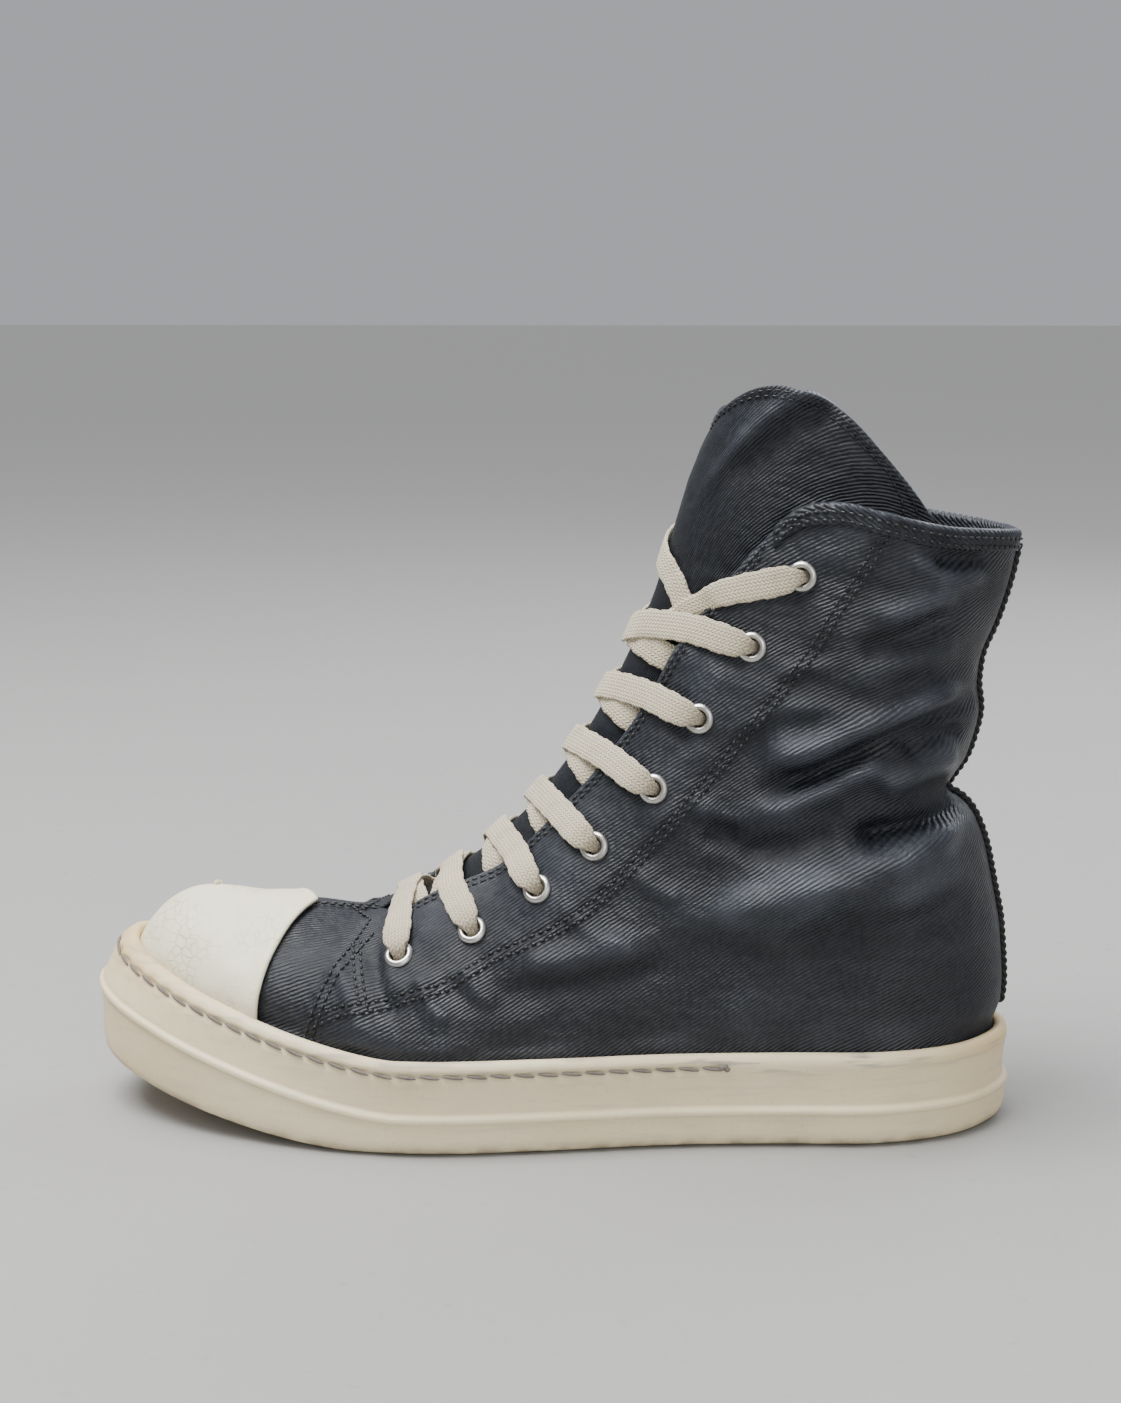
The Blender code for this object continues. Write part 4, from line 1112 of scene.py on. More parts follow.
@dataclass
class Sole:
    """The cup sole with its mid ridge, rim, side stitches, dirt and painted shade in its grooves."""

    underside_round: float = 5.0
    band_step: float = 1.6
    lip: float = 1.6
    rim_lip: float = 1.4
    seam_depth: float = 4.5
    stitch_pitch: float = 7.5
    seam_end: float = 112.0
    columns: int = 440

    def profile(self, angle: Array) -> Array:
        """Sections of the cup from the underside over the rim to the cup's floor.

        Args:
            angle: Angles round the plan.

        Returns:
            Inset and height of each point, one section for each angle.
        """
        x = LAST.plan(angle)[..., 0]
        bottom, ridge, rim, lean = LAST.underside(x), LAST.ridge(x), LAST.rim(x), LAST.slant(angle)
        floor = LAST.underside(LAST.inset(angle, LAST.cup_wall + lean)[..., 0]) + LAST.cup_floor
        step, corner = self.band_step, self.underside_round
        steps = [
            (corner + 3, bottom), (corner, bottom), (corner * 0.4, bottom + corner * 0.22),
            (corner * 0.14, bottom + corner * 0.8), (step * 0.45, ridge - self.lip * 1.6),
            (step * 0.35, ridge - self.lip * 0.9), (-0.1, ridge - self.lip * 0.6), (-0.2, ridge),
            (0.1, ridge + self.lip * 0.6), (step * 0.9, ridge + self.lip * 0.9),
            (step * 1.1, ridge + self.lip * 1.6), (step * 0.8 + lean * 0.45, rim - (rim - ridge) * 0.42),
            (step * 0.25 + lean * 0.75, rim - (rim - ridge) * 0.2), (step * 0.5 + lean * 0.92, rim - self.rim_lip),
            (step * 1.5 + lean, rim), (LAST.cup_wall - self.rim_lip * 0.3 + lean, rim - self.rim_lip * 0.3),
            (LAST.cup_wall + lean, rim - self.rim_lip * 1.6), (LAST.cup_wall + lean, floor + 1),
            (LAST.cup_wall + lean + 1, floor),
        ]
        section = np.stack([stack(inset, z) for inset, z in [(a + 0 * x, b) for a, b in steps]], axis=-2)
        for _ in range(2):
            quarter = section[..., :-1, :] * 0.75 + section[..., 1:, :] * 0.25
            three = section[..., :-1, :] * 0.25 + section[..., 1:, :] * 0.75
            mixed = np.stack([quarter, three], axis=-2).reshape(*section.shape[:-2], -1, 2)
            section = np.concatenate([section[..., :1, :], mixed, section[..., -1:, :]], axis=-2)
        return section

    def band(self, angle: Array, depth: float) -> Array:
        """Inset of the upper band at a depth below the rim."""
        x = LAST.plan(angle)[..., 0]
        rise = LAST.rim(x) - LAST.ridge(x)
        lean = LAST.slant(angle)
        share = np.clip((depth - 0.2 * rise) / (0.22 * rise), 0, 1)
        near, far = self.band_step * 0.25 + lean * 0.75, self.band_step * 0.8 + lean * 0.45
        return near + (far - near) * share

    def seam_point(self, angle: Array, lift: float = 0.0) -> Array:
        """Point of the side seam."""
        flat = LAST.inset(angle, self.band(angle, self.seam_depth) - lift)
        return stack(flat[..., 0], flat[..., 1], LAST.rim(LAST.plan(angle)[..., 0]) - self.seam_depth)

    def build(self) -> bpy.types.Object:
        """Makes the whole cup as one closed skin.

        Returns:
            The sole.
        """
        angles = np.linspace(-180, 180, self.columns + 1)
        section = self.profile(angles)
        seam = self.seam_point(angles)
        run = np.concatenate([[0.0], np.cumsum(np.linalg.norm(np.diff(seam, axis=0), axis=1))])
        count = section.shape[1]
        across = 10

        def place(u: Array, v: Array) -> Sheet:
            """Round the sole along u; from the underside's middle over the rim to the floor's middle."""
            i = np.rint(u * self.columns).astype(int)
            j = np.rint(v * (count - 1 + 2 * across)).astype(int) - across
            k = np.clip(j, 0, count - 1)
            angle = angles[i]
            inset, z = section[i, k, 0].copy(), section[i, k, 1]
            sunk = LAST.rim(LAST.plan(angle)[:, 0]) - self.seam_depth - z
            on_band = (k > count * 0.5) & (k < count * 0.78) & (np.abs(angle) < self.seam_end)
            groove = np.exp(-((sunk / 1.0) ** 2)) * on_band
            pucker = np.exp(-((sunk / 3.2) ** 2)) * on_band * np.cos(run[i] / self.stitch_pitch * math.tau)
            toe = 0.35 + 0.65 * LAST.toe_lift(LAST.plan(angle)[:, 0]) ** 0.5
            inset += groove * 0.9 - pucker * 0.38 * toe
            flat = LAST.inset(angle, inset)
            mirror = LAST.inset(-angle, section[self.columns - i, k, 0])
            middle = (flat + mirror) / 2
            share = np.clip(np.abs(np.where(j < 0, j, np.maximum(j - count + 1, 0))) / across, 0, 1)[:, None]
            flat = flat + (middle - flat) * share
            points = stack(flat[:, 0], flat[:, 1], z)
            wavy = ripple(points, 60, 2.0) * 0.25 + ripple(points, 14, 1.0) * 0.06
            points[:, 1] += wavy * np.sign(points[:, 1]) * (share[:, 0] == 0) * (k < count * 0.75)
            level = (z - LAST.underside(points[:, 0]))
            rim = smooth_step(z - LAST.rim(points[:, 0]), -9, -1)
            # The groove mask marks the seam groove and a line just above the mid ridge's lip, where dirt and painted
            # shade darken the rubber.
            under_ridge = np.exp(-(((z - LAST.ridge(points[:, 0]) - 2.2) / 0.8) ** 2)) * (k < count * 0.6)
            masks = {
                "rim": rim, "low": smooth_step(level, 5.5, 0.5),
                "groove": np.clip(groove * 0.9 + 0.45 * under_ridge, 0, 1),
            }
            return Sheet(points, stack(run[i], z), masks)

        return fine_sheet("rubber_cup", self.columns, count - 1 + 2 * across, place, closed=True)

    def build_stitches(self) -> bpy.types.Object:
        """Makes the waxed side stitches with the knot that ends them.

        Returns:
            The stitches.
        """
        mesh = bmesh.new()
        angles = np.linspace(-self.seam_end, self.seam_end, 900)
        path = self.seam_point(angles, lift=-0.15)
        out = self.seam_point(angles, lift=1.0) - path
        add_stitches(mesh, path, unit(out), self.stitch_pitch, 6.9, 1.15, slant=8.0)
        for end in (0, -1):
            for turn in (0.0, 1.3, 2.6):
                shift = Vector((math.cos(turn), 0.3, math.sin(turn))) * 0.9
                place = Matrix.Translation((Vector(path[end]) + Vector(unit(out)[end]) * 0.5 + shift) * MM)
                bmesh.ops.create_icosphere(mesh, subdivisions=2, radius=1.0 * MM, matrix=place)
        return object_of("side_stitches", mesh)


@dataclass
class ToeCap:
    """The cap over the toe with its rolled edge and shallow dents."""

    thickness: float = 1.5
    end: float = 52.0
    lip: float = 0.55

    def place(self, u: Array, v: Array) -> Sheet:
        """Round the toe along u, from the rim to the middle line along v."""
        angle = (2 * u - 1) * self.end
        foot, base = LAST.arch_base(angle)
        rise = LAST.rim(foot[:, 0]) - 0.4 - base
        lowest = np.degrees(np.arcsin(np.clip(rise / (LAST.top(angle)[:, 2] - base), 0, 0.9))) / 90
        row = lowest + (1 - lowest) * v

        def shell(turn: Array) -> Array:
            """Plain outer face of the cap."""
            return LAST.upper(turn, row) + LAST.normal(turn, np.minimum(row, 0.985)) * (LAST.gap + self.thickness)

        points = shell(angle)
        closing = smooth_step(v, 0.97, 1.0)[:, None]
        points = points + (shell(-angle) - points) * closing / 2
        facing = LAST.normal(angle, np.minimum(row, 0.985))
        facing = unit(facing + (LAST.normal(-angle, np.minimum(row, 0.985)) - facing) * closing / 2)
        edge = (1 - np.abs(2 * u - 1)) * self.end
        bead = self.lip * np.exp(-(((edge - 1.0) / 1.0) ** 2))
        dents = ripple(points, 34, 1.0) * 0.40 + ripple(points, 12, 2.0) * 0.10
        dents -= 0.9 * np.exp(-(((points[:, 0] + 98) / 5.0) ** 2)) * smooth_step(v, 0.1, 0.5)
        points = points + facing * (bead + dents)[:, None]
        masks = {"foot": smooth_step(v, 0.12, 0.0)}
        return Sheet(points, stack(angle * 1.5, v * 60), masks)

    def build(self) -> bpy.types.Object:
        """Makes the cap.

        Returns:
            The cap.
        """
        piece = fine_sheet("leather_cap", 190, 90, self.place)
        mesh = bmesh.new()
        mesh.from_mesh(piece.data)
        middle = LAST.middle_y(0.0) * MM
        crown = [v for v in mesh.verts if v.co.z > 0.062 and abs(v.co.y - middle) < 0.014 and v.co.x < -0.085]
        for _ in range(14):
            bmesh.ops.smooth_vert(mesh, verts=crown, factor=0.5, use_axis_x=True, use_axis_y=True, use_axis_z=True)
        mesh.to_mesh(piece.data)
        mesh.free()
        add_wall(piece, self.thickness)
        return piece


TONGUE_LINE = (
    (0.00, -0.197, 0.252, 0.22, 0.35), (0.08, -0.150, 0.288, 0.28, 0.37), (0.16, -0.105, 0.330, 0.36, 0.40),
    (0.25, -0.052, 0.385, 0.45, 0.43), (0.34, -0.004, 0.450, 0.54, 0.45), (0.43, 0.040, 0.530, 0.62, 0.48),
    (0.52, 0.074, 0.610, 0.67, 0.51), (0.61, 0.102, 0.690, 0.70, 0.545), (0.70, 0.123, 0.770, 0.74, 0.575),
    (0.80, 0.140, 0.845, 0.76, 0.61), (0.90, 0.156, 0.905, 0.78, 0.65), (1.00, 0.172, 0.945, 0.78, 0.69),
)
TONGUE_REACH = (
    (0.00, 80.0, 0.0, 80.0, 0.0), (0.55, 98.0, 0.0, 98.0, 0.0), (0.68, 100.0, 0.0, 98.0, 0.0),
    (0.78, 96.0, 0.03, 94.0, 0.0), (0.88, 92.0, 0.09, 90.0, 0.01), (1.00, 90.0, 0.135, 88.0, 0.03),
)
TONGUE_TOP = (
    (-1.0, -0.14), (-0.75, -0.05), (-0.5, 0.01), (-0.25, 0.02), (0.0, 0.0), (0.15, 0.022), (0.3, 0.048),
    (0.42, 0.050), (0.6, 0.018), (0.75, -0.035), (0.88, -0.09), (1.0, -0.15),
)


@dataclass
class Tongue:
    """The tall tongue that curls round the instep and fans out above the collar."""

    height: float = 242.0
    instep_width: float = 40.0
    thickness: float = 2.4
    fan_start: float = 0.6
    tail_flare: float = 0.10
    band: float = 4.2

    def middle(self, share: Array) -> Array:
        """Middle line of the tongue's outer face."""
        x = curve_through(TONGUE_LINE, share, 1) * LAST.sole_length
        return stack(x, 0.0 * x, curve_through(TONGUE_LINE, share, 2) * self.height)

    def face(self, share: Array, across: Array) -> Array:
        """Point of the outer face; across runs from -1 (inner edge) to 1 (outer edge)."""
        share, across = np.broadcast_arrays(np.asarray(share, float), np.asarray(across, float))
        along = self.middle(np.minimum(share + 0.02, 1)) - self.middle(np.maximum(share - 0.02, 0))
        inward = unit(stack(along[..., 2], 0.0 * share, -along[..., 0]))
        level = np.clip((share - 0.55) / 0.3, 0, 1)[..., None]
        inward = unit(inward * (1 - level) + np.array((1.0, 0.0, 0.0)) * level)
        depth = curve_through(TONGUE_LINE, share, 3) * self.instep_width
        half = curve_through(TONGUE_LINE, share, 4) * LAST.collar_width / 2
        outer = across > 0
        reach = np.where(outer, curve_through(TONGUE_REACH, share, 1), curve_through(TONGUE_REACH, share, 3))
        tail = np.where(outer, curve_through(TONGUE_REACH, share, 2), curve_through(TONGUE_REACH, share, 4))
        arc = np.radians(reach) * (depth + half) / 2
        run = np.abs(across) * (arc + tail * LAST.sole_length)
        turn = np.radians(reach) * np.minimum(1.0, run / arc)
        beyond = np.maximum(0.0, run - arc)
        flare = self.tail_flare * beyond * (1 - beyond / (0.3 * LAST.sole_length))
        points = self.middle(share) + inward * (depth * (1 - np.cos(turn)) + beyond)[..., None]
        side = np.where(outer, -1.0, 1.0)
        points[..., 1] = LAST.middle_y(90.0) + side * (half * np.sin(turn) + flare)
        fan = np.clip((share - self.fan_start) / (1 - self.fan_start), 0, 1)
        points[..., 2] += fan**1.5 * curve_through(TONGUE_TOP, across) * self.height
        return points

    def facing(self, share: Array, across: Array) -> Array:
        """The way the outer face looks."""
        along = self.face(np.minimum(share + 0.01, 1), across) - self.face(np.maximum(share - 0.01, 0), across)
        over = self.face(share, np.clip(across + 0.01, -1, 1)) - self.face(share, np.clip(across - 0.01, -1, 1))
        return unit(np.cross(over, along))

    def skin(self, share: Array, across: Array) -> tuple[Array, Array, Array]:
        """Points, facings and relief of the finished outer face."""
        points, facing = self.face(share, across), self.facing(share, across)
        fan = smooth_step(share, 0.72, 0.95)
        fold_at = 0.24 + 0.22 * np.clip((share - 0.7) / 0.3, 0, 1)
        height = 2.0 * fan * np.exp(-(((across - fold_at) / 0.05) ** 2))
        height -= 1.8 * fan * np.exp(-(((across - fold_at - 0.11) / 0.06) ** 2))
        height += (ripple(points, 40, 3.0) * 0.45 + ripple(points, 15, 4.0) * 0.14) * (0.4 + 0.6 * fan)
        return points + facing * height[..., None], facing, height

    def edge_distance(self, share: Array, across: Array) -> Array:
        """How far in from the top and side edges a place lies, in millimetres."""
        side = (1 - np.abs(across)) * 75
        top = (1 - share) * 215
        return np.minimum(side, top)

    def build(self) -> bpy.types.Object:
        """Makes the tongue.

        Returns:
            The tongue.
        """

        def place(u: Array, v: Array) -> Sheet:
            """Across the tongue along u and up it along v."""
            across = 1 - 2 * u
            points, facing, height = self.skin(v, across)
            inward = self.edge_distance(v, across)
            band = 0.35 * smooth_step(inward, self.band + 0.4, self.band - 0.4)
            points = points + facing * band[:, None]
            # Fold crests painted paler for wear and as painted highlight; edges paler with wear.
            wear_and_highlight = np.clip(height / 2.2, 0, 1) * 0.8 + 0.6 * smooth_step(inward, 1.2, 0.0)
            return Sheet(points, stack(across * 75, v * 215), {"wear_and_highlight": np.clip(wear_and_highlight, 0, 1)})

        piece = fine_sheet("cloth_tongue", 150, 190, place)
        add_wall(piece, self.thickness)
        return piece

    def build_stitches(self) -> bpy.types.Object:
        """Makes the double row inside the tongue's edge.

        Returns:
            The stitches.
        """
        mesh = bmesh.new()
        for inset in (2.2, 5.0):
            side, top = 1 - inset / 75, 1 - inset / 215
            corner = 0.05
            path = [(0.5, side), (0.75, side), (top - corner, side), (top, side - 0.12)]
            path += [(top, across) for across in (0.7, 0.5, 0.3, 0.1, -0.1, -0.3, -0.5, -0.7)]
            path += [(top, -side + 0.12), (top - corner, -side), (0.75, -side), (0.5, -side)]
            line = smooth_path(path, 400)
            points, facing, _ = self.skin(line[:, 0], line[:, 1])
            add_stitches(mesh, points + facing * 0.35, facing, 2.9, 2.1, 0.7)
        return object_of("tongue_stitches", mesh)


@dataclass
class Eyelets:
    """The nickel rings through the facings."""

    outer: float = 9.8
    bore: float = 5.2
    height: float = 1.25

    def build(self, side: Side, number: int, centre: Array, facing: Array) -> bpy.types.Object:
        """Makes one ring with a domed flange and a barrel.

        Args:
            side: Side of the foot.
            number: Number from the toe up.
            centre: Its place on the cloth.
            facing: The way it looks.

        Returns:
            The ring.
        """
        mesh = bmesh.new()
        bore, outer, high = self.bore / 2, self.outer / 2, self.height
        section = [(bore, -2.4), (bore, high * 0.35), (bore + 0.25, high * 0.75), (bore + 0.7, high)]
        section += [(outer - 1.1, high * 0.98), (outer - 0.4, high * 0.70), (outer, high * 0.2), (outer, -0.1)]
        section += [(bore + 0.5, -0.1), (bore + 0.5, -2.4)]
        verts = [mesh.verts.new((radius * MM, 0, z * MM)) for radius, z in section]
        edges = [mesh.edges.new((verts[k], verts[(k + 1) % len(verts)])) for k in range(len(verts))]
        bmesh.ops.spin(
            mesh, geom=verts + edges, axis=(0, 0, 1), cent=(0, 0, 0), angle=math.tau, steps=32, use_merge=True
        )
        bmesh.ops.recalc_face_normals(mesh, faces=mesh.faces)
        turn = Vector(facing).to_track_quat("Z", "Y").to_matrix().to_4x4()
        bmesh.ops.transform(mesh, matrix=Matrix.Translation(centre * MM) @ turn, verts=mesh.verts)
        return object_of(f"nickel_ring_{side.name.lower()}_{number}", mesh)


@dataclass
class Laces:
    """The flat cotton lace, strand by strand, through the eyelets."""

    upper: Upper
    tongue: Tongue
    width: float = 9.4
    thickness: float = 1.7
    clear: float = 0.55
    crossings: Points = (
        (0.30, 0.40, 0.9), (0.05, -0.45, 1.0), (-0.12, -0.50, 1.0), (-0.18, -0.50, 1.0), (-0.25, -0.50, 1.0),
        (-0.38, -0.55, 1.0), (-0.50, -0.60, 1.0),
    )

    def __post_init__(self) -> None:
        """Works out where the eyelets and the throat edge lie along the tongue."""
        self.shares = np.linspace(0, 1, 401)
        self.axes = {(side, number): (centre, facing) for side, number, centre, facing in self.upper.eyelet_axes()}
        self.levels = [self.level_of(self.axes[Side.OUTER, k][0]) for k in range(1, 9)]
        self.edge_angles = np.linspace(71, 122, 103)
        tops = LAST.top(-self.edge_angles)
        self.edge_levels = np.array([self.level_of(point) for point in tops])

    def level_of(self, point: Array) -> float:
        """Share of the tongue's length whose cross line passes a point."""
        middle = self.tongue.middle(self.shares)
        along = np.gradient(middle, axis=0)
        ahead = np.einsum("ij,ij->i", point * (1, 0, 1) - middle, along)
        first = int(np.argmax(ahead < 0)) if (ahead < 0).any() else len(ahead) - 1
        return float(self.shares[max(first, 1)])

    def level(self, number: float) -> float:
        """Level at an eyelet number, whole or between two."""
        whole = min(max(int(number), 1), 7)
        return self.levels[whole - 1] + (number - whole) * (self.levels[whole] - self.levels[whole - 1])

    def over(self, number: float, sideways: float, lift: float) -> tuple[Array, Array]:
        """Place over the tongue.

        Args:
            number: Eyelet number, whole or between two.
            sideways: From the outer throat edge (-1) to the inner one (1).
            lift: Distance from the tongue.

        Returns:
            Point and facing.
        """
        level = self.level(number)
        angle = np.interp(level, self.edge_levels, self.edge_angles)
        side = 1 if sideways > 0 else -1
        target = abs(sideways) * abs(float(LAST.top(np.array(side * angle))[1]))
        across = np.linspace(0, 0.95, 96)
        widths = np.abs(self.tongue.face(level, -side * across)[:, 1])
        share = float(np.interp(target, widths, across))
        point, facing, _ = self.tongue.skin(np.array([level]), np.array([-side * share]))
        return point[0] + facing[0] * lift, facing[0]

    def edge(self, side: Side, number: float, lift: float) -> tuple[Array, Array]:
        """Place over the throat edge beside an eyelet."""
        angle = side.value * np.interp(self.level(number), self.edge_levels, self.edge_angles)
        point, facing, _ = self.upper.skin(np.array([angle]), np.array([0.985]))
        return point[0] + facing[0] * lift, facing[0]

    def leave(self, side: Side, number: int, over_edge: Array) -> list[tuple[Array, Array, float]]:
        """Places of a strand from inside its eyelet to beside the ring."""
        centre, facing = self.axes[side, number]
        towards = over_edge - centre
        towards = unit(towards - facing * (towards @ facing))
        half = self.thickness / 2
        tilt = unit(facing - towards * 0.9)
        return [
            (centre - facing * 4.5 - towards * 0.6, -towards, 0.42), (centre - facing * 1.5, tilt - facing, 0.44),
            (centre + facing * 1.7 + towards * 1.2, unit(facing - towards * 0.7), 0.58),
            (centre + facing * (2.2 + half * 0.5) + towards * 4.0, facing, 0.90),
            (centre + facing * (1.3 + half) + towards * 7.6, facing, 1.0),
        ]

    def strand(self, name: str, places: list[tuple[Array, Array, float]], narrow: float = 1.0) -> bpy.types.Object:
        """Makes a strand through its places.

        Args:
            name: The strand's name.
            places: Point, facing and share of the full width at each.
            narrow: Share of the width kept all along.

        Returns:
            The strand.
        """
        table = np.array([np.concatenate([point, facing, [share]]) for point, facing, share in places])
        steps = np.linalg.norm(np.diff(table[:, :3], axis=0), axis=1)
        run = np.concatenate([[0.0], np.cumsum(steps)])
        at = np.linspace(0, run[-1], max(int(run[-1] / 0.7), 20))
        rows = np.column_stack([curve_through(np.column_stack([run, table]), at, c) for c in range(1, 8)])
        share = np.clip(rows[:, 6], 0.3, 1.05)
        uneven = 1 + 0.035 * np.sin(at * 0.9) + 0.02 * np.sin(at * 2.3)
        thick = self.thickness * (1 + 0.9 * np.clip(1 - share, 0, 1))
        piece = sweep(
            name, rows[:, :3], unit(rows[:, 3:6]), self.width * share * narrow * uneven, thick, around=20, flat=0.62
        )
        data = piece.data
        stain = data.attributes.new("stain", "FLOAT", "POINT").data
        flat = np.empty(len(data.vertices) * 3)
        data.vertices.foreach_get("co", flat)
        start = rows[0, :3] * MM
        away = np.linalg.norm(flat.reshape(-1, 3) - start, axis=1) / MM
        stain.foreach_set("value", np.exp(-(((away - 5) / 6) ** 2)))
        return piece

    def crossing(self, side: Side, number: int) -> bpy.types.Object:
        """Makes one strand of a crossing, from its eyelet to under the opposite facing.

        Args:
            side: The side it starts on.
            number: Number of its eyelet.

        Returns:
            The strand.
        """
        crest, far, reach = self.crossings[number - 1]
        lift = self.thickness / 2 + self.clear + (1.6 if number == 1 else 0.0)
        hump = self.thickness * 1.05 if side is Side.OUTER else 0.0
        over_edge, edge_facing = self.edge(side, number, self.thickness / 2 + 0.5)
        places = self.leave(side, number, over_edge) + [(over_edge, edge_facing, 1.0)]
        bridge = []
        for share in (-0.72, -0.45, -0.2, 0.0, 0.2, 0.45, 0.7, 0.88, 1.02):
            if share > reach:
                break
            here = number + (crest * (share + 1) if share < 0 else crest + (far - crest) * share)
            raised = lift + hump * math.cos(min(abs(share), 1.0) * math.pi / 2) ** 2
            under = 1.2 * max(0.0, share - 0.7) / 0.3
            bridge.append((*self.over(here, share * -side.value, raised - under), 1.0))
        return self.strand(f"lace_{side.name.lower()}_{number}", self.tight(places + bridge))

    def tight(self, places: list[tuple[Array, Array, float]]) -> list[tuple[Array, Array, float]]:
        """Leaves out each place over the tongue that a tight strand would pass over."""
        k = 6
        while k < len(places) - 1:
            before, (here, facing, _), after = places[k - 1][0], places[k], places[k + 1][0]
            span = after - before
            chord = before + span * ((here - before) @ span) / (span @ span)
            if (chord - here) @ facing > 0:
                places.pop(k)
                k = max(k - 1, 6)
            else:
                k += 1
        return places

    def top_strand(self, side: Side) -> bpy.types.Object:
        """Makes one of the two ends, from a top eyelet down under the strands below.

        Args:
            side: The side it starts on.

        Returns:
            The strand.
        """
        lift = self.thickness / 2 + self.clear
        number = 8
        outer = side is Side.OUTER
        over_edge, edge_facing = self.edge(side, 7.5 if outer else 7.95, self.thickness / 2 + 0.5)
        towards = self.over(7.2, -0.8 if outer else 0.8, lift)[1]
        places = self.leave(side, number, over_edge) + [(over_edge, unit(edge_facing + towards), 0.88)]
        if outer:
            route = ((7.22, -0.80, 0.78), (7.08, -0.74, 0.72), (6.95, -0.69, 0.8), (6.8, -0.66, 0.9))
            raised = (2.2, 1.3, 0.0, -0.3)
        else:
            route = (
                (7.90, 0.75, 1.0), (7.80, 0.40, 1.0), (7.66, 0.05, 0.95), (7.50, -0.25, 0.9), (7.32, -0.50, 0.85),
                (7.15, -0.64, 0.8), (6.98, -0.74, 0.8), (6.82, -0.80, 0.85),
            )
            raised = (0.0, 0.0, 0.0, 0.0, -0.1, -0.2, -0.4, -0.4)
        for (at, sideways, share), extra in zip(route, raised):
            places.append((*self.over(at, sideways, lift + extra), share))
        return self.strand(f"lace_{side.name.lower()}_{number}", places)


def soft_light(name: str, place: tuple, aim: tuple, size: float, power: float, tint: tuple = (1, 1, 1)) -> None:
    """Adds a large soft lamp.

    Args:
        name: The lamp's name.
        place: Where it hangs.
        aim: What it points at.
        size: Width of its panel.
        power: Its strength in watts.
        tint: Its colour.
    """
    lamp = bpy.data.lights.new(name, "AREA")
    lamp.shape, lamp.size, lamp.energy, lamp.color = "SQUARE", size, power, tint
    holder = bpy.data.objects.new(name, lamp)
    holder.location = place
    holder.rotation_euler = (Vector(aim) - Vector(place)).to_track_quat("-Z", "Y").to_euler()
    bpy.context.scene.collection.objects.link(holder)


def set_stage() -> None:
    """Makes the floor, the light and the camera."""
    mesh = bmesh.new()
    bmesh.ops.create_grid(mesh, x_segments=1, y_segments=1, size=20.0)
    floor = object_of("pale_floor", mesh)
    floor.data.materials.append(Plain("pale_floor", colour=(0.34, 0.335, 0.325, 1), dirt=(0.29, 0.285, 0.275, 1),
                                      roughness=0.75, grain=60.0, depth=0.02, cover=0.1).make())
    world = bpy.data.worlds.new("soft_room")
    world.use_nodes = True
    world.node_tree.nodes["Background"].inputs["Color"].default_value = (0.80, 0.83, 0.88, 1)
    world.node_tree.nodes["Background"].inputs["Strength"].default_value = 0.52
    bpy.context.scene.world = world
    soft_light("sky_panel", (-0.5, -0.2, 1.5), (0.0, 0.0, 0.08), 0.9, 42.0)
    soft_light("front_panel", (0.5, -1.6, 0.9), (0.0, 0.0, 0.1), 1.2, 12.0, (1.0, 0.98, 0.95))
    soft_light("back_panel", (0.7, 0.9, 0.9), (0.05, 0.0, 0.12), 0.8, 9.0, (0.9, 0.95, 1.0))
    sun = bpy.data.lights.new("even_light", "SUN")
    sun.energy, sun.angle = 1.7, math.radians(50)
    holder = bpy.data.objects.new("even_light", sun)
    holder.rotation_euler = (math.radians(-14), math.radians(-16), 0.0)
    bpy.context.scene.collection.objects.link(holder)
    lens = bpy.data.cameras.new("photo_camera")
    lens.lens, lens.sensor_width = 53.88, 36.0
    camera = bpy.data.objects.new("photo_camera", lens)
    camera.location = (0.03307, -0.67727, 0.268)
    camera.rotation_euler = (math.radians(79.1), 0.0, math.radians(2.5))
    bpy.context.scene.collection.objects.link(camera)
    bpy.context.scene.camera = camera


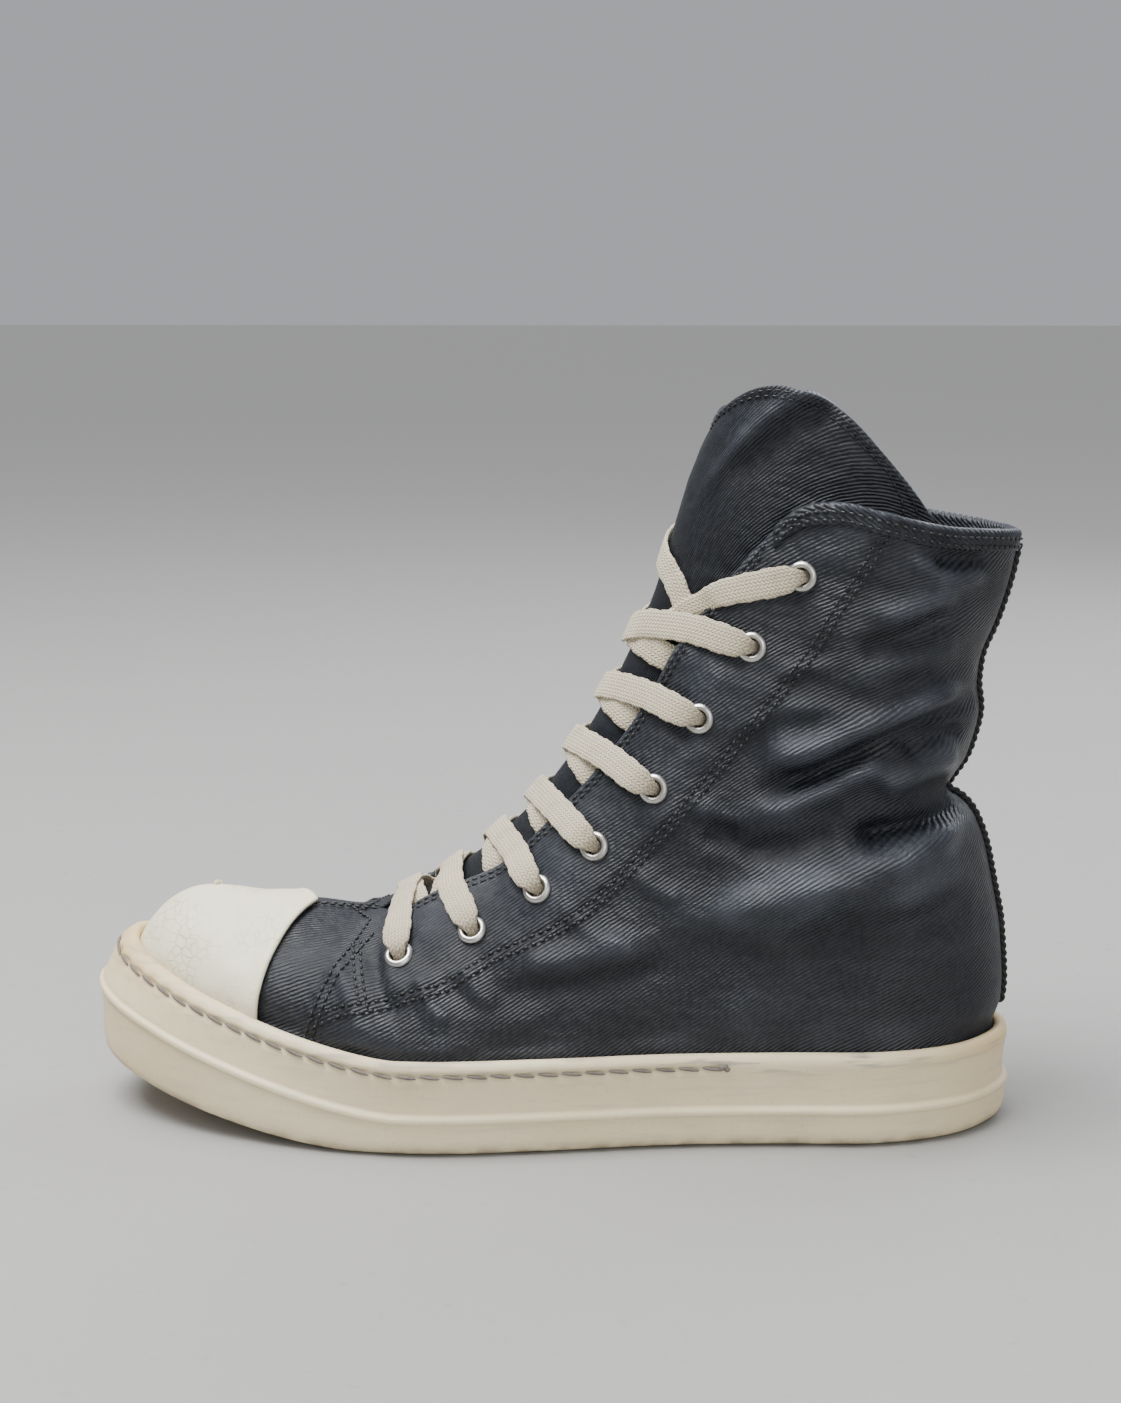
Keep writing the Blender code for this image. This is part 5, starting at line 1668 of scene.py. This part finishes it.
def main() -> None:
    """Builds and dresses the shoe, piece by piece."""
    logging.basicConfig(level=logging.INFO, format="%(message)s")
    cloth = Cloth("waxed_twill", specular=0.30, gloss=0.45).make()
    tongue_cloth = Cloth("tongue_twill", specular=0.30, gloss=0.45, turn=2.89).make()
    lining = Cloth("twill_lining", dark=(0.045, 0.042, 0.038, 1), worn=(0.13, 0.12, 0.105, 1), gloss=0.75).make()
    rubber = Rubber("cream_rubber").make()
    cotton = Cotton("lace_cotton", sheen=0.2).make()
    nickel = Plain("dull_nickel", metallic=1.0, colour=(0.60, 0.59, 0.56, 1), dirt=(0.20, 0.17, 0.13, 1),
                   roughness=0.26, depth=0.02).make()
    thread = Plain("dark_thread", colour=(0.008, 0.008, 0.010, 1), dirt=(0.03, 0.03, 0.03, 1), roughness=0.42).make()
    waxed = Plain("waxed_thread", colour=(0.190, 0.160, 0.140, 1), roughness=0.6, depth=0.08).make()
    black = Plain("black_cord", colour=(0.014, 0.014, 0.016, 1), dirt=(0.05, 0.048, 0.045, 1), roughness=0.7,
                  grain=2500.0, depth=0.12).make()
    set_stage()

    sole = Sole()
    dress(sole.build(), "rubber_sole", [rubber], "cup_sole")
    dress(sole.build_stitches(), "cord_black", [waxed])
    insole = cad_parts["insole"]
    insole.data.materials.clear()
    insole.data.materials.append(lining)

    upper = Upper()
    dress(upper.build(), "waxed_cloth", [cloth, lining], "upper")
    dress(upper.build_stitches(), "cord_black", [thread])
    dress(upper.build_hem(), "waxed_cloth", [cloth], "collar_hem_outer", "collar_hem_inner")
    dress(upper.build_back_cord(), "cord_black", [black], "heel_cord")
    dress(ToeCap().build(), "cap_leather", [CapLeather("cracked_cap").make()], "toe_cap")

    tongue = Tongue()
    dress(tongue.build(), "waxed_cloth", [tongue_cloth], "tongue")
    dress(tongue.build_stitches(), "cord_black", [thread])

    rings = Eyelets()
    for side, number, centre, facing in upper.eyelet_axes():
        ring = rings.build(side, number, centre, facing)
        dress(ring, "eyelet_nickel", [nickel], f"eyelet_{side.name.lower()}_{number}")
    laces = Laces(upper, tongue)
    for number in range(1, 9):
        for side in Side:
            strand = laces.top_strand(side) if number == 8 else laces.crossing(side, number)
            nodes = (f"lace_crossing_{number}",) if side is Side.OUTER else ()
            dress(strand, "lace_cotton", [cotton], *nodes)


if __name__ == "__main__":
    main()
